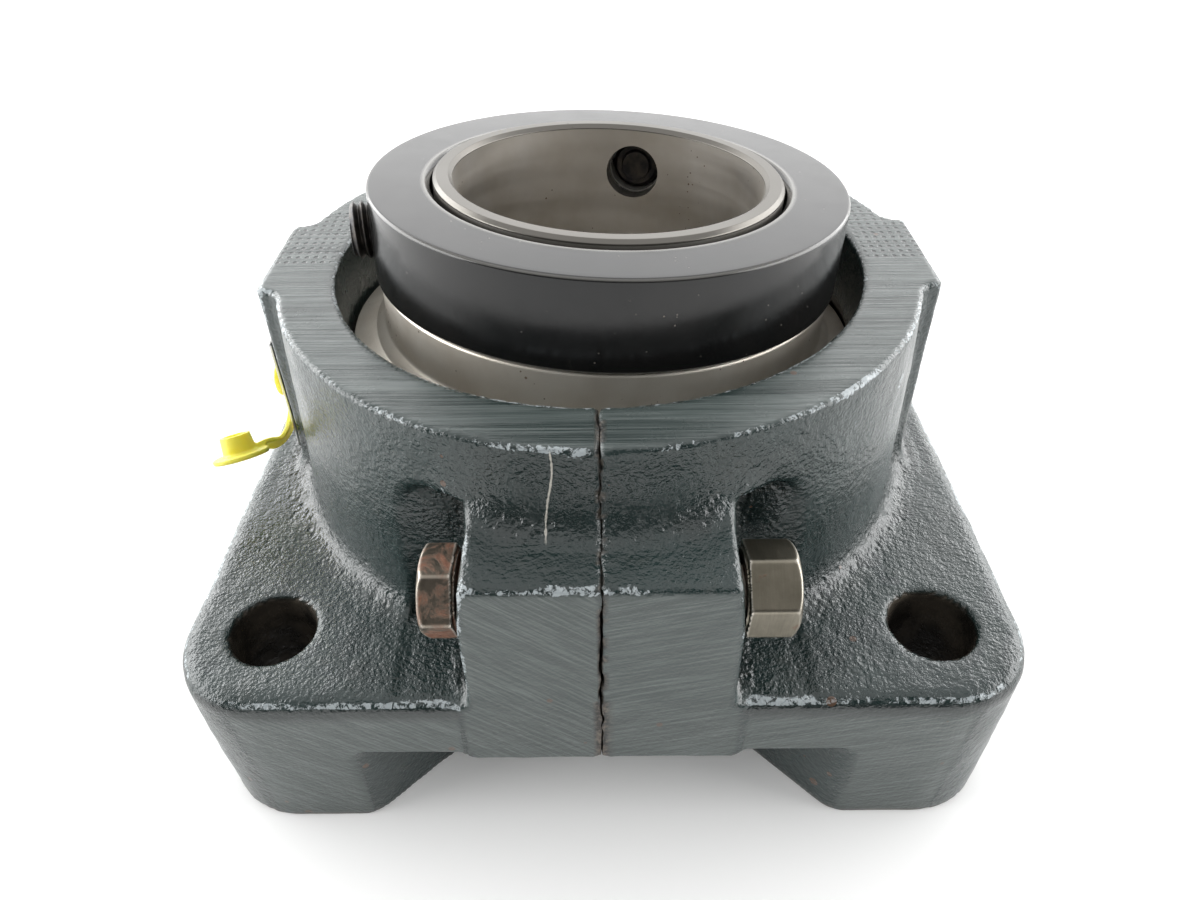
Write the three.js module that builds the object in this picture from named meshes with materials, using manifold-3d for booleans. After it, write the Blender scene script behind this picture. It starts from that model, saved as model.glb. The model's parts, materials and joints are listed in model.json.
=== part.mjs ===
// Four-bolt flange mount bearing, millimetres, +Z up along the shaft.
// Origin: on the shaft axis at the mounting plane. +X points across the clamp bolts' length,
// -Y towards the clamp boss called front. The bearing insert stands swivelled in its spherical
// seat, as self-aligning inserts do until a shaft is fitted.
import * as THREE from "three";
import { mergeVertices } from "three/addons/utils/BufferGeometryUtils.js";
import Module from "manifold-3d";

const wasm = await Module();
wasm.setup();
const DEG = Math.PI / 180;

// ---------------------------------------------------------------- driving dimensions
const RUN = 0.5; // radial clearance between turning pieces, faceted surfaces included
const GAP = 0.3; // clearance between pieces that touch on the real bearing
const ROUND = 40; // sides of a full turn on the large rings
const INNER_ROUND = 32; // the same on seals and slingers
const BURY = 6; // how far an added solid runs into the wall that carries it
const OVERCUT = 3; // how far a cutting tool runs past the wall it cuts

// bearing insert across the shaft
const SHAFT_RADIUS = 43.66; // bore of the inner ring
const SLEEVE_WALL = 5.34;
const SLEEVE_RADIUS = SHAFT_RADIUS + SLEEVE_WALL; // outside of the inner ring under the collar
const ROLLER_RADIUS = 5.2; // at mid length
const ROLLER_ORBIT = SLEEVE_RADIUS + ROLLER_RADIUS; // distance of a roller's middle from the shaft axis
const RIB_RADIUS = SLEEVE_RADIUS + 4.2; // guiding rib outboard of a roller's large end
const SEAL_LAND_RADIUS = ROLLER_ORBIT + ROLLER_RADIUS + 3; // bore of the outer ring where a seal sits
const SHOULDER_RADIUS = SEAL_LAND_RADIUS + 3.2; // cylindrical ends of the outer ring
const COLLAR_RADIUS = SLEEVE_RADIUS + 17.8;
const COLLAR_EDGE = 1.2;
const COLLAR_BORE_CLEAR = 0.9; // collar bore over the sleeve
const COLLAR_BORE_BEVEL = 1.3;
const SEAT_CLEAR = 0.5; // between the seat and the outer ring's sphere
const SHOULDER_BEVEL = 1;
const RING_BEVEL = 1.1;
const GREASE_GROOVE = 3; // half width of the groove round the outer ring
const GREASE_GROOVE_DEPTH = 1.4;
const GREASE_WAY_RADIUS = 1.8;

// tapered rollers, one row above the seat's centre and its mirror image below
const ROLLERS_PER_ROW = 16;
const RACE_TILT = 11 * DEG; // slope of a roller's axis to the shaft
const ROLLER_LENGTH = 18;
const ROLLER_HEIGHT = ROLLER_LENGTH / 2 + 5.5; // height of a roller's middle above the centre
const ROLLER_CLEAR = 0.45; // race to roller
const ROLLER_END_CLEAR = 0.5;
const ROLLER_SIDES = 10;
const CAGE_WALL = 1.6;
const CAGE_RIM = 2.2; // cage left beyond each end of a roller
const CAGE_CLEAR = 0.35;
const RACE_RUNOUT = 1.5; // race left beyond each end of a roller
const RIB_SLOPE = 2; // height over which the rib comes down to the sleeve

// bearing insert along the shaft, heights measured from the seat's centre
const SEAT_HALF = 26; // half the height of the spherical seat
const RIB_END = ROLLER_HEIGHT + ROLLER_LENGTH / 2 + 4.9;
const SEAL_START = RIB_END + 5.6;
const SEAL_THICK = 7;
const SEAL_LIP = 2;
const SLINGER_START = SEAL_START + SEAL_THICK + 1;
const SLINGER_THICK = 2;
const SLINGER_LIP = 4; // width of its hub on the sleeve, towards the collar
const SHOULDER_START = SEAT_HALF + 5;
const SHOULDER_END = SLINGER_START + 3.3;
const COLLAR_BOTTOM = SHOULDER_END + 0.8;
const COLLAR_TOP = COLLAR_BOTTOM + 24.6;
const RING_TOP = COLLAR_TOP + 1.4;
const RING_BOTTOM = -SHOULDER_END - 8.7;

// set screws
const SCREW_RADIUS = 7.9;
const SCREW_LENGTH = 19.5;
const SCREW_HEIGHT = COLLAR_BOTTOM + 11.3;
const SCREW_SOCKET = 4.6;
const SCREW_SOCKET_DEPTH = 8;
const SCREW_POINT = 2; // length of the reduced point
const SCREW_POINT_RADIUS = 4.74;
const SCREW_TURNS = [190, 78.5]; // where each screw points, degrees from +X
const SCREW_STARTS = [SHAFT_RADIUS + 8.74, SHAFT_RADIUS + 6.14]; // each point, from the shaft axis
const SCREW_HOLE_CLEAR = 0.3;

// rest pose of the insert in its seat, degrees
const SWIVEL_ABOUT_Y = 2.605;
const SWIVEL_ABOUT_X = -2.956;

// clamp bolts
const CLAMP_RADIUS = 6.35;
const HEX_ACROSS = 20.2;
const HEX_BEVEL = 1.5; // height of the cone on a head or nut
const HEX_FACE_INSET = 0.4; // its end face lies this far inside the flats
const HEAD_HEIGHT = 8.7;
const NUT_HEIGHT = 12.8;
const HEAD_TURN = -34; // turn of a head about the bolt, from a corner on +Z
const NUT_TURN = 46;
const BOLT_STUB = 1.6; // thread that stands out of the nut
const HOLE_CLEAR = 0.8; // radial clearance of a clamp bolt in its hole

// housing across the shaft
const SWIVEL_ROOM = 10.2; // between the outer ring's ends and the housing's mouths
const BORE_MOUTH = SHOULDER_RADIUS + SWIVEL_ROOM; // cylindrical mouths above and below the seat
const MOUTH_BEVEL = 1.2;
const BARREL_RADIUS = BORE_MOUTH + 15.7; // outer radius at the top
const BARREL_FOOT_RADIUS = BARREL_RADIUS + 3; // outer radius where it meets the flange
const CORE_RADIUS = BARREL_RADIUS - 0.5; // outer radius of the ring under the flange
const PAD_REACH = BARREL_RADIUS + 3.5; // flat side pads, distance from the axis
const PAD_HALF = 20.5;
const FLANGE_HALF = 111.1; // half the side of the square flange
const FLANGE_CORNER = 25; // plan radius of the flange's corners
const FOOT_INNER = FLANGE_HALF - 47.1; // where a foot begins, measured along the flange's edge
const BOLT_PITCH = 2 * (FLANGE_HALF - 24.2); // square spacing of the four mounting holes
const BOLT_HOLE_RADIUS = 11.1;
const SPLIT_GAP = 0.5; // width of the split between the two halves
const BOSS_HALF = 31.3; // half the width of a clamp boss along the bolt
const BOSS_CREST = BARREL_RADIUS + 0.5; // where a boss leaves the barrel, from the axis
const BOSS_BEVEL = 1.5;
const CLAMP_Y = BARREL_RADIUS + 5.5; // distance of the bolt's axis from the shaft axis
const POCKET_DEPTH = NUT_HEIGHT + BOLT_STUB + 5.1; // how far a pocket runs out along the bolt
const POCKET_FLOOR = CLAMP_Y - HEX_ACROSS / 2 - 2.9; // a pocket's inner wall, from the axis
const POCKET_CORNER = 7;

// housing heights
const BARREL_TOP = 116.9;
const SEAT_CENTRE = BARREL_TOP - 48.9; // height of the spherical seat's centre
const FLANGE_TOP = 52.7;
const WEB_UNDER = FLANGE_TOP - 21.7; // underside of the flange between the feet
const BOSS_CREST_TOP = BARREL_TOP - 22.3; // top of a boss where it meets the barrel
const BOSS_FACE_TOP = BOSS_CREST_TOP - 1.2; // top edge of the boss on the flange face
const POCKET_TOP = BOSS_CREST_TOP + 4.4; // ceiling of the wrench pockets beside a boss
const CLAMP_Z = BOSS_CREST_TOP - 15.6;

// locating pin, along Y at the rear of the seat
const PIN_RADIUS = 4;
const PIN_IN_RING = 4.4; // how far the pin reaches into the outer ring
const PIN_OUTER = BARREL_RADIUS - 4.5; // outer end of the pin
const SLOT_HALF_HEIGHT = 9; // half the length of the slot it slides in
const PIN_CLEAR = 0.35;

// left pad: grease fitting, cap and plate
const FITTING_Z = SEAT_CENTRE + 6.5;
const FITTING_Y = 0;
const FITTING_BASE = 3; // thickness of the hex
const FITTING_HEX = 11; // across flats
const FITTING_NECK = 3;
const FITTING_HEAD = 3.4;
const FITTING_LENGTH = 13.2; // reach of the fitting beyond the pad
const FITTING_HEAD_LENGTH = 5.2;
const FITTING_FLARE = 1; // length over which the neck widens to the head
const FITTING_NOSE = 2.4; // length of the tapered nose
const FITTING_NOSE_TAPER = 1.3;
const FITTING_SHANK = 4;
const FITTING_SHANK_DEPTH = 11;
const CAP_RING_INNER = FITTING_NECK + 0.6;
const CAP_RING_OUTER = CAP_RING_INNER + 3;
const CAP_RING_THICK = 2;
const CAP_RING_BITE = 0.9; // how far the strap runs into the ring's rim
const STRAP_WIDTH = 4.6;
const STRAP_THICK = 1.5;
const STRAP_EDGE = 0.6; // rounding of the strap's edges
const STRAP_SAG = [[0.3, -11, -6.4], [0.1, -17, -9.2], [-0.9, -24, -8.6]]; // from the ring's middle
const STRAP_LANDING = [[3.6, 7, -0.2], [0.4, 2, 0.75]]; // from the middle of the cap's disc
const CAP_CENTRE = [-PAD_REACH - 10.4, FITTING_Y - 38.5, FITTING_Z - 3]; // middle of the cap's disc
const CAP_DISC_RADIUS = 8;
const CAP_DISC_THICK = 1.5;
const CAP_CUP_RADIUS = 4.7;
const CAP_CUP_TAPER = 0.5;
const CAP_CUP_HEIGHT = 7;
const CAP_CUP_BORE = 3.1;
const CAP_CUP_FLOOR = 0.6; // floor of the cup above the disc
const CAP_LEAN = [10, -16]; // how the cap leans, degrees about X and Y
const PLATE_HALF_Y = 17.5;
const PLATE_BOTTOM = FITTING_Z - 16.5;
const PLATE_TOP = FITTING_Z + 23.5;
const PLATE_THICK = 0.8;
const PLATE_HOLE = FITTING_HEX / 2 + 2.5; // radius of the plate's hole round the fitting
const DRIVE_SCREW_RADIUS = 1.5;
const DRIVE_SCREW_HEAD = 2.6;
const DRIVE_SCREW_CROWN = 1.56;
const DRIVE_SCREW_DOME = 1.1;
const DRIVE_SCREW_DEPTH = 6;
const DRIVE_SCREW_Z = [PLATE_BOTTOM + 4.2, PLATE_TOP - 4.2];

// ---------------------------------------------------------------- solids
// A closed mesh as a solid that can be joined and cut.
function solid(geometry) {
  const bare = (geometry.index ? geometry.toNonIndexed() : geometry).clone();
  bare.deleteAttribute("normal");
  bare.deleteAttribute("uv");
  const merged = mergeVertices(bare, 1e-4);
  const mesh = new wasm.Mesh({
    numProp: 3,
    vertProperties: merged.attributes.position.array,
    triVerts: new Uint32Array(merged.index.array),
  });
  return new wasm.Manifold(mesh);
}

// The geometry of a solid, ready for a mesh.
function geometryOf(made) {
  const mesh = made.getMesh();
  const geometry = new THREE.BufferGeometry();
  geometry.setAttribute("position", new THREE.BufferAttribute(mesh.vertProperties, 3));
  geometry.setIndex(new THREE.BufferAttribute(mesh.triVerts, 1));
  geometry.computeVertexNormals();
  return geometry;
}

const joined = (pieces) => pieces.reduce((all, piece) => all.add(piece));
const cut = (body, tools) => tools.reduce((left, tool) => left.subtract(tool), body);

// A profile of [radius, height] pairs turned about Z; the list runs round the section
// anticlockwise, seen with the radius to the right and the height up.
function turned(profile, sides = ROUND, start = 0) {
  const points = profile.map(([radius, height]) => new THREE.Vector2(radius, height));
  points.push(points[0].clone());
  const geometry = new THREE.LatheGeometry(points, sides, start);
  geometry.rotateX(Math.PI / 2);
  return solid(geometry);
}

// A closed plan outline raised from one height to another.
function raised(shape, bottom, top, curveSteps = 6) {
  const geometry = new THREE.ExtrudeGeometry(shape, {
    depth: top - bottom,
    bevelEnabled: false,
    curveSegments: curveSteps,
  });
  geometry.translate(0, 0, bottom);
  return solid(geometry);
}

function polygon(points) {
  return new THREE.Shape(points.map(([x, y]) => new THREE.Vector2(x, y)));
}

function roundedSquare(half, radius, halfY = half) {
  const shape = new THREE.Shape();
  const centres = [
    [half - radius, halfY - radius],
    [radius - half, halfY - radius],
    [radius - half, radius - halfY],
    [half - radius, radius - halfY],
  ];
  centres.forEach(([x, y], i) => {
    shape.absarc(x, y, radius, (i * Math.PI) / 2, ((i + 1) * Math.PI) / 2, false);
  });
  return shape;
}

function block(lowX, highX, lowY, highY, lowZ, highZ) {
  const geometry = new THREE.BoxGeometry(highX - lowX, highY - lowY, highZ - lowZ);
  geometry.translate((lowX + highX) / 2, (lowY + highY) / 2, (lowZ + highZ) / 2);
  return solid(geometry);
}

// A rod from one distance to another along an axis that starts on Z at the given height
// and points at a turn about Z.
function radialRod(radius, from, to, height, turn, sides = 20) {
  const geometry = new THREE.CylinderGeometry(radius, radius, to - from, sides);
  geometry.rotateZ(-Math.PI / 2);
  geometry.translate((from + to) / 2, 0, height);
  geometry.rotateZ(turn * DEG);
  return solid(geometry);
}

// A rod along X at a place in Y and Z.
function rodX(radius, fromX, toX, y, z, sides = 20) {
  const geometry = new THREE.CylinderGeometry(radius, radius, toX - fromX, sides);
  geometry.rotateZ(-Math.PI / 2);
  geometry.translate((fromX + toX) / 2, y, z);
  return solid(geometry);
}

function material(color, roughness, metalness) {
  return new THREE.MeshStandardMaterial({ color, roughness, metalness });
}

const finish = {
  paint: () => material(0x3d4746, 0.42, 0.1),
  clampSteel: () => material(0x6f6a5e, 0.45, 0.9),
  ringSteel: () => material(0xb9b2a6, 0.25, 1),
  innerSteel: () => material(0xc9c4ba, 0.22, 1),
  rollerSteel: () => material(0xc4c4c4, 0.15, 1),
  cage: () => material(0x8d8a80, 0.4, 0.9),
  seal: () => material(0x1d1d1f, 0.7, 0),
  slinger: () => material(0x9a9a98, 0.35, 1),
  collar: () => material(0x26282a, 0.35, 0.8),
  screw: () => material(0x17181a, 0.4, 0.8),
  fitting: () => material(0xc9c9c4, 0.25, 1),
  cap: () => material(0xe9dd3a, 0.4, 0),
  plate: () => material(0xb4b6b4, 0.35, 0.9),
};

const bearing = new THREE.Group();
const insert = new THREE.Group(); // everything that swivels in the seat
insert.position.set(0, 0, SEAT_CENTRE);
insert.rotation.set(SWIVEL_ABOUT_X * DEG, SWIVEL_ABOUT_Y * DEG, 0, "YXZ");
bearing.add(insert);

function piece(group, name, made, mat) {
  const mesh = new THREE.Mesh(geometryOf(made), mat);
  mesh.name = name;
  group.add(mesh);
  return mesh;
}

// ---------------------------------------------------------------- housing
const SEAT_RADIUS = Math.hypot(BORE_MOUTH, SEAT_HALF);
const SEAT_STEPS = 6;

// Points on the seat's sphere, from the bottom up, for a radius about the seat's centre.
function seatArc(radius, halfHeight, centre) {
  const end = Math.asin(halfHeight / radius);
  return Array.from({ length: SEAT_STEPS + 1 }, (_, i) => {
    const angle = -end + (2 * end * i) / SEAT_STEPS;
    return [radius * Math.cos(angle), centre + radius * Math.sin(angle)];
  });
}

function barrel() {
  const bore = seatArc(SEAT_RADIUS, SEAT_HALF, SEAT_CENTRE).reverse();
  return turned([
    [BORE_MOUTH + MOUTH_BEVEL, 0],
    [CORE_RADIUS, 0],
    [CORE_RADIUS, WEB_UNDER],
    [BARREL_FOOT_RADIUS, FLANGE_TOP],
    [BARREL_RADIUS, BARREL_TOP - MOUTH_BEVEL],
    [BARREL_RADIUS - MOUTH_BEVEL, BARREL_TOP],
    [BORE_MOUTH + MOUTH_BEVEL, BARREL_TOP],
    [BORE_MOUTH, BARREL_TOP - MOUTH_BEVEL],
    ...bore,
    [BORE_MOUTH, MOUTH_BEVEL],
  ]);
}

// The flange plate with its feet; the four reliefs between the feet narrow towards the barrel.
function flange() {
  const plate = raised(roundedSquare(FLANGE_HALF, FLANGE_CORNER), 0, FLANGE_TOP, 5);
  const reliefReach = CORE_RADIUS - 21; // deep enough to end inside the ring under the flange
  const rise = FLANGE_HALF + OVERCUT;
  const mouth = FOOT_INNER + OVERCUT;
  const narrow = mouth - (rise - reliefReach);
  const reliefs = [0, 90, 180, 270].map((turn) => {
    const outline = polygon([
      [-mouth, -rise],
      [mouth, -rise],
      [narrow, -reliefReach],
      [-narrow, -reliefReach],
    ]);
    const relief = raised(outline, -OVERCUT, WEB_UNDER);
    return relief.rotate([0, 0, turn]);
  });
  const centre = turned(
    [
      [0, -OVERCUT],
      [BORE_MOUTH + BURY, -OVERCUT],
      [BORE_MOUTH + BURY, FLANGE_TOP + OVERCUT],
      [0, FLANGE_TOP + OVERCUT],
    ],
  );
  return cut(plate, [...reliefs, centre]);
}

// A clamp boss on the front (side -1) or the rear (side 1), from under the flange to its crest.
function boss(side) {
  const outline = polygon([
    [-FLANGE_HALF, WEB_UNDER],
    [-BORE_MOUTH - BURY, WEB_UNDER],
    [-BORE_MOUTH - BURY, BOSS_CREST_TOP],
    [-BOSS_CREST, BOSS_CREST_TOP],
    [-FLANGE_HALF + BOSS_BEVEL, BOSS_FACE_TOP],
    [-FLANGE_HALF, BOSS_FACE_TOP - BOSS_BEVEL],
  ]);
  const geometry = new THREE.ExtrudeGeometry(outline, { depth: 2 * BOSS_HALF, bevelEnabled: false });
  geometry.translate(0, 0, -BOSS_HALF);
  geometry.rotateX(Math.PI / 2);
  geometry.rotateZ(Math.PI / 2);
  const made = solid(geometry);
  return side < 0 ? made : made.rotate([0, 0, 180]);
}

// Room for a wrench on a head or nut, sunk into the barrel's wall beside a boss.
function pocket(side, end) {
  const shape = new THREE.Shape();
  const low = FLANGE_TOP - 0.01;
  const reach = BOSS_HALF + POCKET_DEPTH;
  shape.moveTo(BOSS_HALF, low);
  shape.lineTo(reach, low);
  shape.lineTo(reach, POCKET_TOP - POCKET_CORNER);
  shape.absarc(reach - POCKET_CORNER, POCKET_TOP - POCKET_CORNER, POCKET_CORNER, 0, Math.PI / 2, false);
  shape.lineTo(BOSS_HALF, POCKET_TOP);
  const geometry = new THREE.ExtrudeGeometry(shape, {
    depth: FLANGE_HALF - POCKET_FLOOR,
    bevelEnabled: false,
    curveSegments: 4,
  });
  geometry.rotateX(Math.PI / 2);
  geometry.translate(0, -POCKET_FLOOR, 0);
  const made = solid(geometry);
  const placed = end > 0 ? made : made.mirror([1, 0, 0]);
  return side < 0 ? placed : placed.mirror([0, 1, 0]);
}

function pad(side) {
  const low = FLANGE_TOP - BURY;
  const made = block(BORE_MOUTH + BURY, PAD_REACH, -PAD_HALF, PAD_HALF, low, BARREL_TOP);
  return side > 0 ? made : made.mirror([1, 0, 0]);
}

function housing() {
  const solids = [barrel(), flange(), pad(-1), pad(1), boss(-1), boss(1)];
  const bore = turned([
    [0, -OVERCUT],
    [BORE_MOUTH, -OVERCUT],
    ...seatArc(SEAT_RADIUS, SEAT_HALF, SEAT_CENTRE),
    [BORE_MOUTH, BARREL_TOP + OVERCUT],
    [0, BARREL_TOP + OVERCUT],
  ]);
  const half = BOLT_PITCH / 2;
  const mountingHoles = [-half, half].flatMap((x) =>
    [-half, half].map((y) => {
      const geometry = new THREE.CylinderGeometry(BOLT_HOLE_RADIUS, BOLT_HOLE_RADIUS, FLANGE_TOP + OVERCUT, 24);
      geometry.rotateX(Math.PI / 2);
      geometry.translate(x, y, FLANGE_TOP / 2);
      return solid(geometry);
    }),
  );
  const clampHoles = [-CLAMP_Y, CLAMP_Y].map((y) =>
    rodX(CLAMP_RADIUS + HOLE_CLEAR, -BOSS_HALF - OVERCUT, BOSS_HALF + OVERCUT, y, CLAMP_Z, 24),
  );
  const pockets = [-1, 1].flatMap((side) => [-1, 1].map((end) => pocket(side, end)));
  const pinHole = radialRod(
    PIN_RADIUS + PIN_CLEAR,
    BORE_MOUTH - OVERCUT,
    PIN_OUTER + PIN_CLEAR,
    SEAT_CENTRE,
    90,
  );
  const fittingHole = rodX(
    FITTING_SHANK + PIN_CLEAR,
    -PAD_REACH - OVERCUT,
    -PAD_REACH + FITTING_SHANK_DEPTH + 1,
    FITTING_Y,
    FITTING_Z,
    16,
  );
  const greaseWay = rodX(GREASE_WAY_RADIUS, -PAD_REACH, -BORE_MOUTH + OVERCUT, FITTING_Y, FITTING_Z, 12);
  const plateHoles = DRIVE_SCREW_Z.map((z) =>
    rodX(
      DRIVE_SCREW_RADIUS + PIN_CLEAR,
      -PAD_REACH - OVERCUT,
      -PAD_REACH + DRIVE_SCREW_DEPTH + 1,
      0,
      z,
      10,
    ),
  );
  return cut(joined(solids), [
    bore,
    ...mountingHoles,
    ...clampHoles,
    ...pockets,
    pinHole,
    fittingHole,
    greaseWay,
    ...plateHoles,
  ]);
}

const wholeHousing = housing();
const beyond = FLANGE_HALF + OVERCUT;
const leftSide = block(-beyond, -SPLIT_GAP / 2, -beyond, beyond, -OVERCUT, BARREL_TOP + OVERCUT);
const rightSide = block(SPLIT_GAP / 2, beyond, -beyond, beyond, -OVERCUT, BARREL_TOP + OVERCUT);
piece(bearing, "housing_left_half", wholeHousing.intersect(leftSide), finish.paint());
piece(bearing, "housing_right_half", wholeHousing.intersect(rightSide), finish.paint());

// ---------------------------------------------------------------- clamp bolts and nuts
// A hexagon along X, turned about X from the place where a corner points at +Z.
function hexagon(fromX, toX, turn) {
  const radius = HEX_ACROSS / Math.sqrt(3);
  const geometry = new THREE.CylinderGeometry(radius, radius, toX - fromX, 6);
  geometry.rotateZ(-Math.PI / 2);
  const made = solid(geometry).rotate([turn, 0, 0]);
  return made.translate([(fromX + toX) / 2, 0, 0]);
}

// The corners of a hexagon's outer face, turned down to a cone.
function chamferCone(fromX, toX) {
  const radius = HEX_ACROSS / Math.sqrt(3) + OVERCUT;
  const depth = toX - fromX;
  const profile = [
    [0, 0],
    [radius, 0],
    [HEX_ACROSS / Math.sqrt(3) + 1, depth - HEX_BEVEL],
    [HEX_ACROSS / 2 - HEX_FACE_INSET, depth],
    [0, depth],
  ];
  const made = turned(profile, 24).rotate([0, 90, 0]);
  return made.translate([fromX, 0, 0]);
}

function clampBolt(side) {
  const under = BOSS_HALF + GAP;
  const headOuter = under + HEAD_HEIGHT;
  const head = hexagon(under, headOuter, HEAD_TURN).intersect(chamferCone(under, headOuter));
  const shankEnd = BOSS_HALF + GAP + NUT_HEIGHT + BOLT_STUB;
  const shank = rodX(CLAMP_RADIUS, -shankEnd, under + 1, 0, 0, 24);
  const made = head.add(shank).mirror([1, 0, 0]);
  return made.translate([0, side * CLAMP_Y, CLAMP_Z]);
}

function clampNut(side) {
  const under = BOSS_HALF + GAP;
  const outer = under + NUT_HEIGHT;
  const hex = hexagon(under, outer, NUT_TURN).intersect(chamferCone(under, outer));
  const bore = rodX(CLAMP_RADIUS + GAP, under - OVERCUT, outer + OVERCUT, 0, 0, 24);
  return hex.subtract(bore).translate([0, side * CLAMP_Y, CLAMP_Z]);
}

[["front", -1], ["rear", 1]].forEach(([name, side]) => {
  piece(bearing, "clamp_bolt_" + name, clampBolt(side), finish.clampSteel());
  piece(bearing, "clamp_nut_" + name, clampNut(side), finish.clampSteel());
});

// ---------------------------------------------------------------- bearing insert
// A roller is a cone whose apex lies where its axis meets the shaft axis, so that it rolls.
const rollerRadius = (along) =>
  ROLLER_RADIUS * (1 + (along * Math.sin(RACE_TILT)) / ROLLER_ORBIT);

// A point of the upper row in its half section, [radius, height]: so far along the roller's
// axis from its middle, towards the large end, and so far out from it, away from the shaft.
function rowPoint(along, out) {
  return [
    ROLLER_ORBIT + along * Math.sin(RACE_TILT) + out * Math.cos(RACE_TILT),
    ROLLER_HEIGHT + along * Math.cos(RACE_TILT) - out * Math.sin(RACE_TILT),
  ];
}

const racePoint = (along, side) => rowPoint(along, side * (rollerRadius(along) + ROLLER_CLEAR));
const mirrored = (profile) => profile.map(([radius, height]) => [radius, -height]).reverse();

function outerRing() {
  const sphere = SEAT_RADIUS - SEAT_CLEAR;
  const arc = seatArc(sphere, SEAT_HALF, 0);
  const groove = sphere - GREASE_GROOVE_DEPTH;
  const lower = arc.filter(([, height]) => height < -GREASE_GROOVE - 1);
  const upper = arc.filter(([, height]) => height > GREASE_GROOVE + 1);
  const atGroove = Math.sqrt(sphere ** 2 - GREASE_GROOVE ** 2);
  const raceEnd = ROLLER_LENGTH / 2 + RACE_RUNOUT;
  const small = racePoint(-raceEnd, 1);
  const large = racePoint(raceEnd, 1);
  const landStart = large[1] + (SEAL_LAND_RADIUS - large[0]);
  const innerUpper = [
    small,
    large,
    [SEAL_LAND_RADIUS, landStart],
    [SEAL_LAND_RADIUS, SHOULDER_END],
  ];
  const outerUpper = [
    ...upper,
    [SHOULDER_RADIUS, SHOULDER_START],
    [SHOULDER_RADIUS, SHOULDER_END - SHOULDER_BEVEL],
    [SHOULDER_RADIUS - SHOULDER_BEVEL, SHOULDER_END],
  ];
  const outerLower = [
    [SHOULDER_RADIUS - SHOULDER_BEVEL, -SHOULDER_END],
    [SHOULDER_RADIUS, SHOULDER_BEVEL - SHOULDER_END],
    [SHOULDER_RADIUS, -SHOULDER_START],
    ...lower,
  ];
  const made = turned([
    ...outerLower,
    [atGroove, -GREASE_GROOVE],
    [groove, 1 - GREASE_GROOVE],
    [groove, GREASE_GROOVE - 1],
    [atGroove, GREASE_GROOVE],
    ...outerUpper,
    ...innerUpper.slice().reverse(),
    ...mirrored(innerUpper).reverse(),
  ]);
  const slotFloor = sphere - PIN_IN_RING - 2 * PIN_CLEAR;
  const across = PIN_RADIUS + PIN_CLEAR;
  const slot = block(-across, across, slotFloor, sphere + OVERCUT, -SLOT_HALF_HEIGHT, SLOT_HALF_HEIGHT);
  const greaseWay = radialRod(GREASE_WAY_RADIUS, small[0] - OVERCUT, sphere + OVERCUT, 0, 180, 12);
  return cut(made, [slot, greaseWay]);
}

// Half of the split inner ring, from the middle of the insert to an end.
function innerRing(end) {
  const raceEnd = ROLLER_LENGTH / 2;
  const small = racePoint(-raceEnd - RACE_RUNOUT, -1);
  const large = racePoint(raceEnd + ROLLER_END_CLEAR, -1);
  const ribAlong = raceEnd + ROLLER_END_CLEAR;
  const ribOut = (RIB_RADIUS - rowPoint(ribAlong, 0)[0]) / Math.cos(RACE_TILT);
  return [
    [SHAFT_RADIUS, GAP / 2],
    [small[0], GAP / 2],
    small,
    large,
    rowPoint(ribAlong, ribOut),
    [RIB_RADIUS, RIB_END],
    [SLEEVE_RADIUS, RIB_END + RIB_SLOPE],
    [SLEEVE_RADIUS, end - RING_BEVEL],
    [SLEEVE_RADIUS - RING_BEVEL, end],
    [SHAFT_RADIUS + RING_BEVEL, end],
    [SHAFT_RADIUS, end - RING_BEVEL],
  ];
}

const screwHoles = (radius, from, to) =>
  SCREW_TURNS.map((turn) => radialRod(radius, from, to, SCREW_HEIGHT, turn, 24));

function upperInnerRing() {
  const holes = screwHoles(
    SCREW_RADIUS + 2 * SCREW_HOLE_CLEAR,
    SHAFT_RADIUS - OVERCUT,
    SLEEVE_RADIUS + OVERCUT,
  );
  return cut(turned(innerRing(RING_TOP)), holes);
}

function lockingCollar() {
  const bore = SLEEVE_RADIUS + COLLAR_BORE_CLEAR;
  const made = turned([
    [bore, COLLAR_BOTTOM],
    [COLLAR_RADIUS - COLLAR_EDGE, COLLAR_BOTTOM],
    [COLLAR_RADIUS, COLLAR_BOTTOM + COLLAR_EDGE],
    [COLLAR_RADIUS, COLLAR_TOP - COLLAR_EDGE],
    [COLLAR_RADIUS - COLLAR_EDGE, COLLAR_TOP],
    [bore + COLLAR_BORE_BEVEL, COLLAR_TOP],
    [bore, COLLAR_TOP - COLLAR_BORE_BEVEL],
  ]);
  return cut(made, screwHoles(
    SCREW_RADIUS + SCREW_HOLE_CLEAR,
    bore - OVERCUT,
    COLLAR_RADIUS + OVERCUT,
  ));
}

// A hex-socket set screw pointing at the shaft.
function setScrew(index) {
  const start = SCREW_STARTS[index];
  const end = start + SCREW_LENGTH;
  const shank = radialRod(SCREW_RADIUS, start + SCREW_POINT, end, SCREW_HEIGHT, 0, 24);
  const point = radialRod(SCREW_POINT_RADIUS, start, start + 2 * SCREW_POINT, SCREW_HEIGHT, 0, 24);
  const socket = radialRod(SCREW_SOCKET, end - SCREW_SOCKET_DEPTH, end + OVERCUT, SCREW_HEIGHT, 0, 6);
  return shank.add(point).subtract(socket).rotate([0, 0, SCREW_TURNS[index]]);
}

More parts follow.
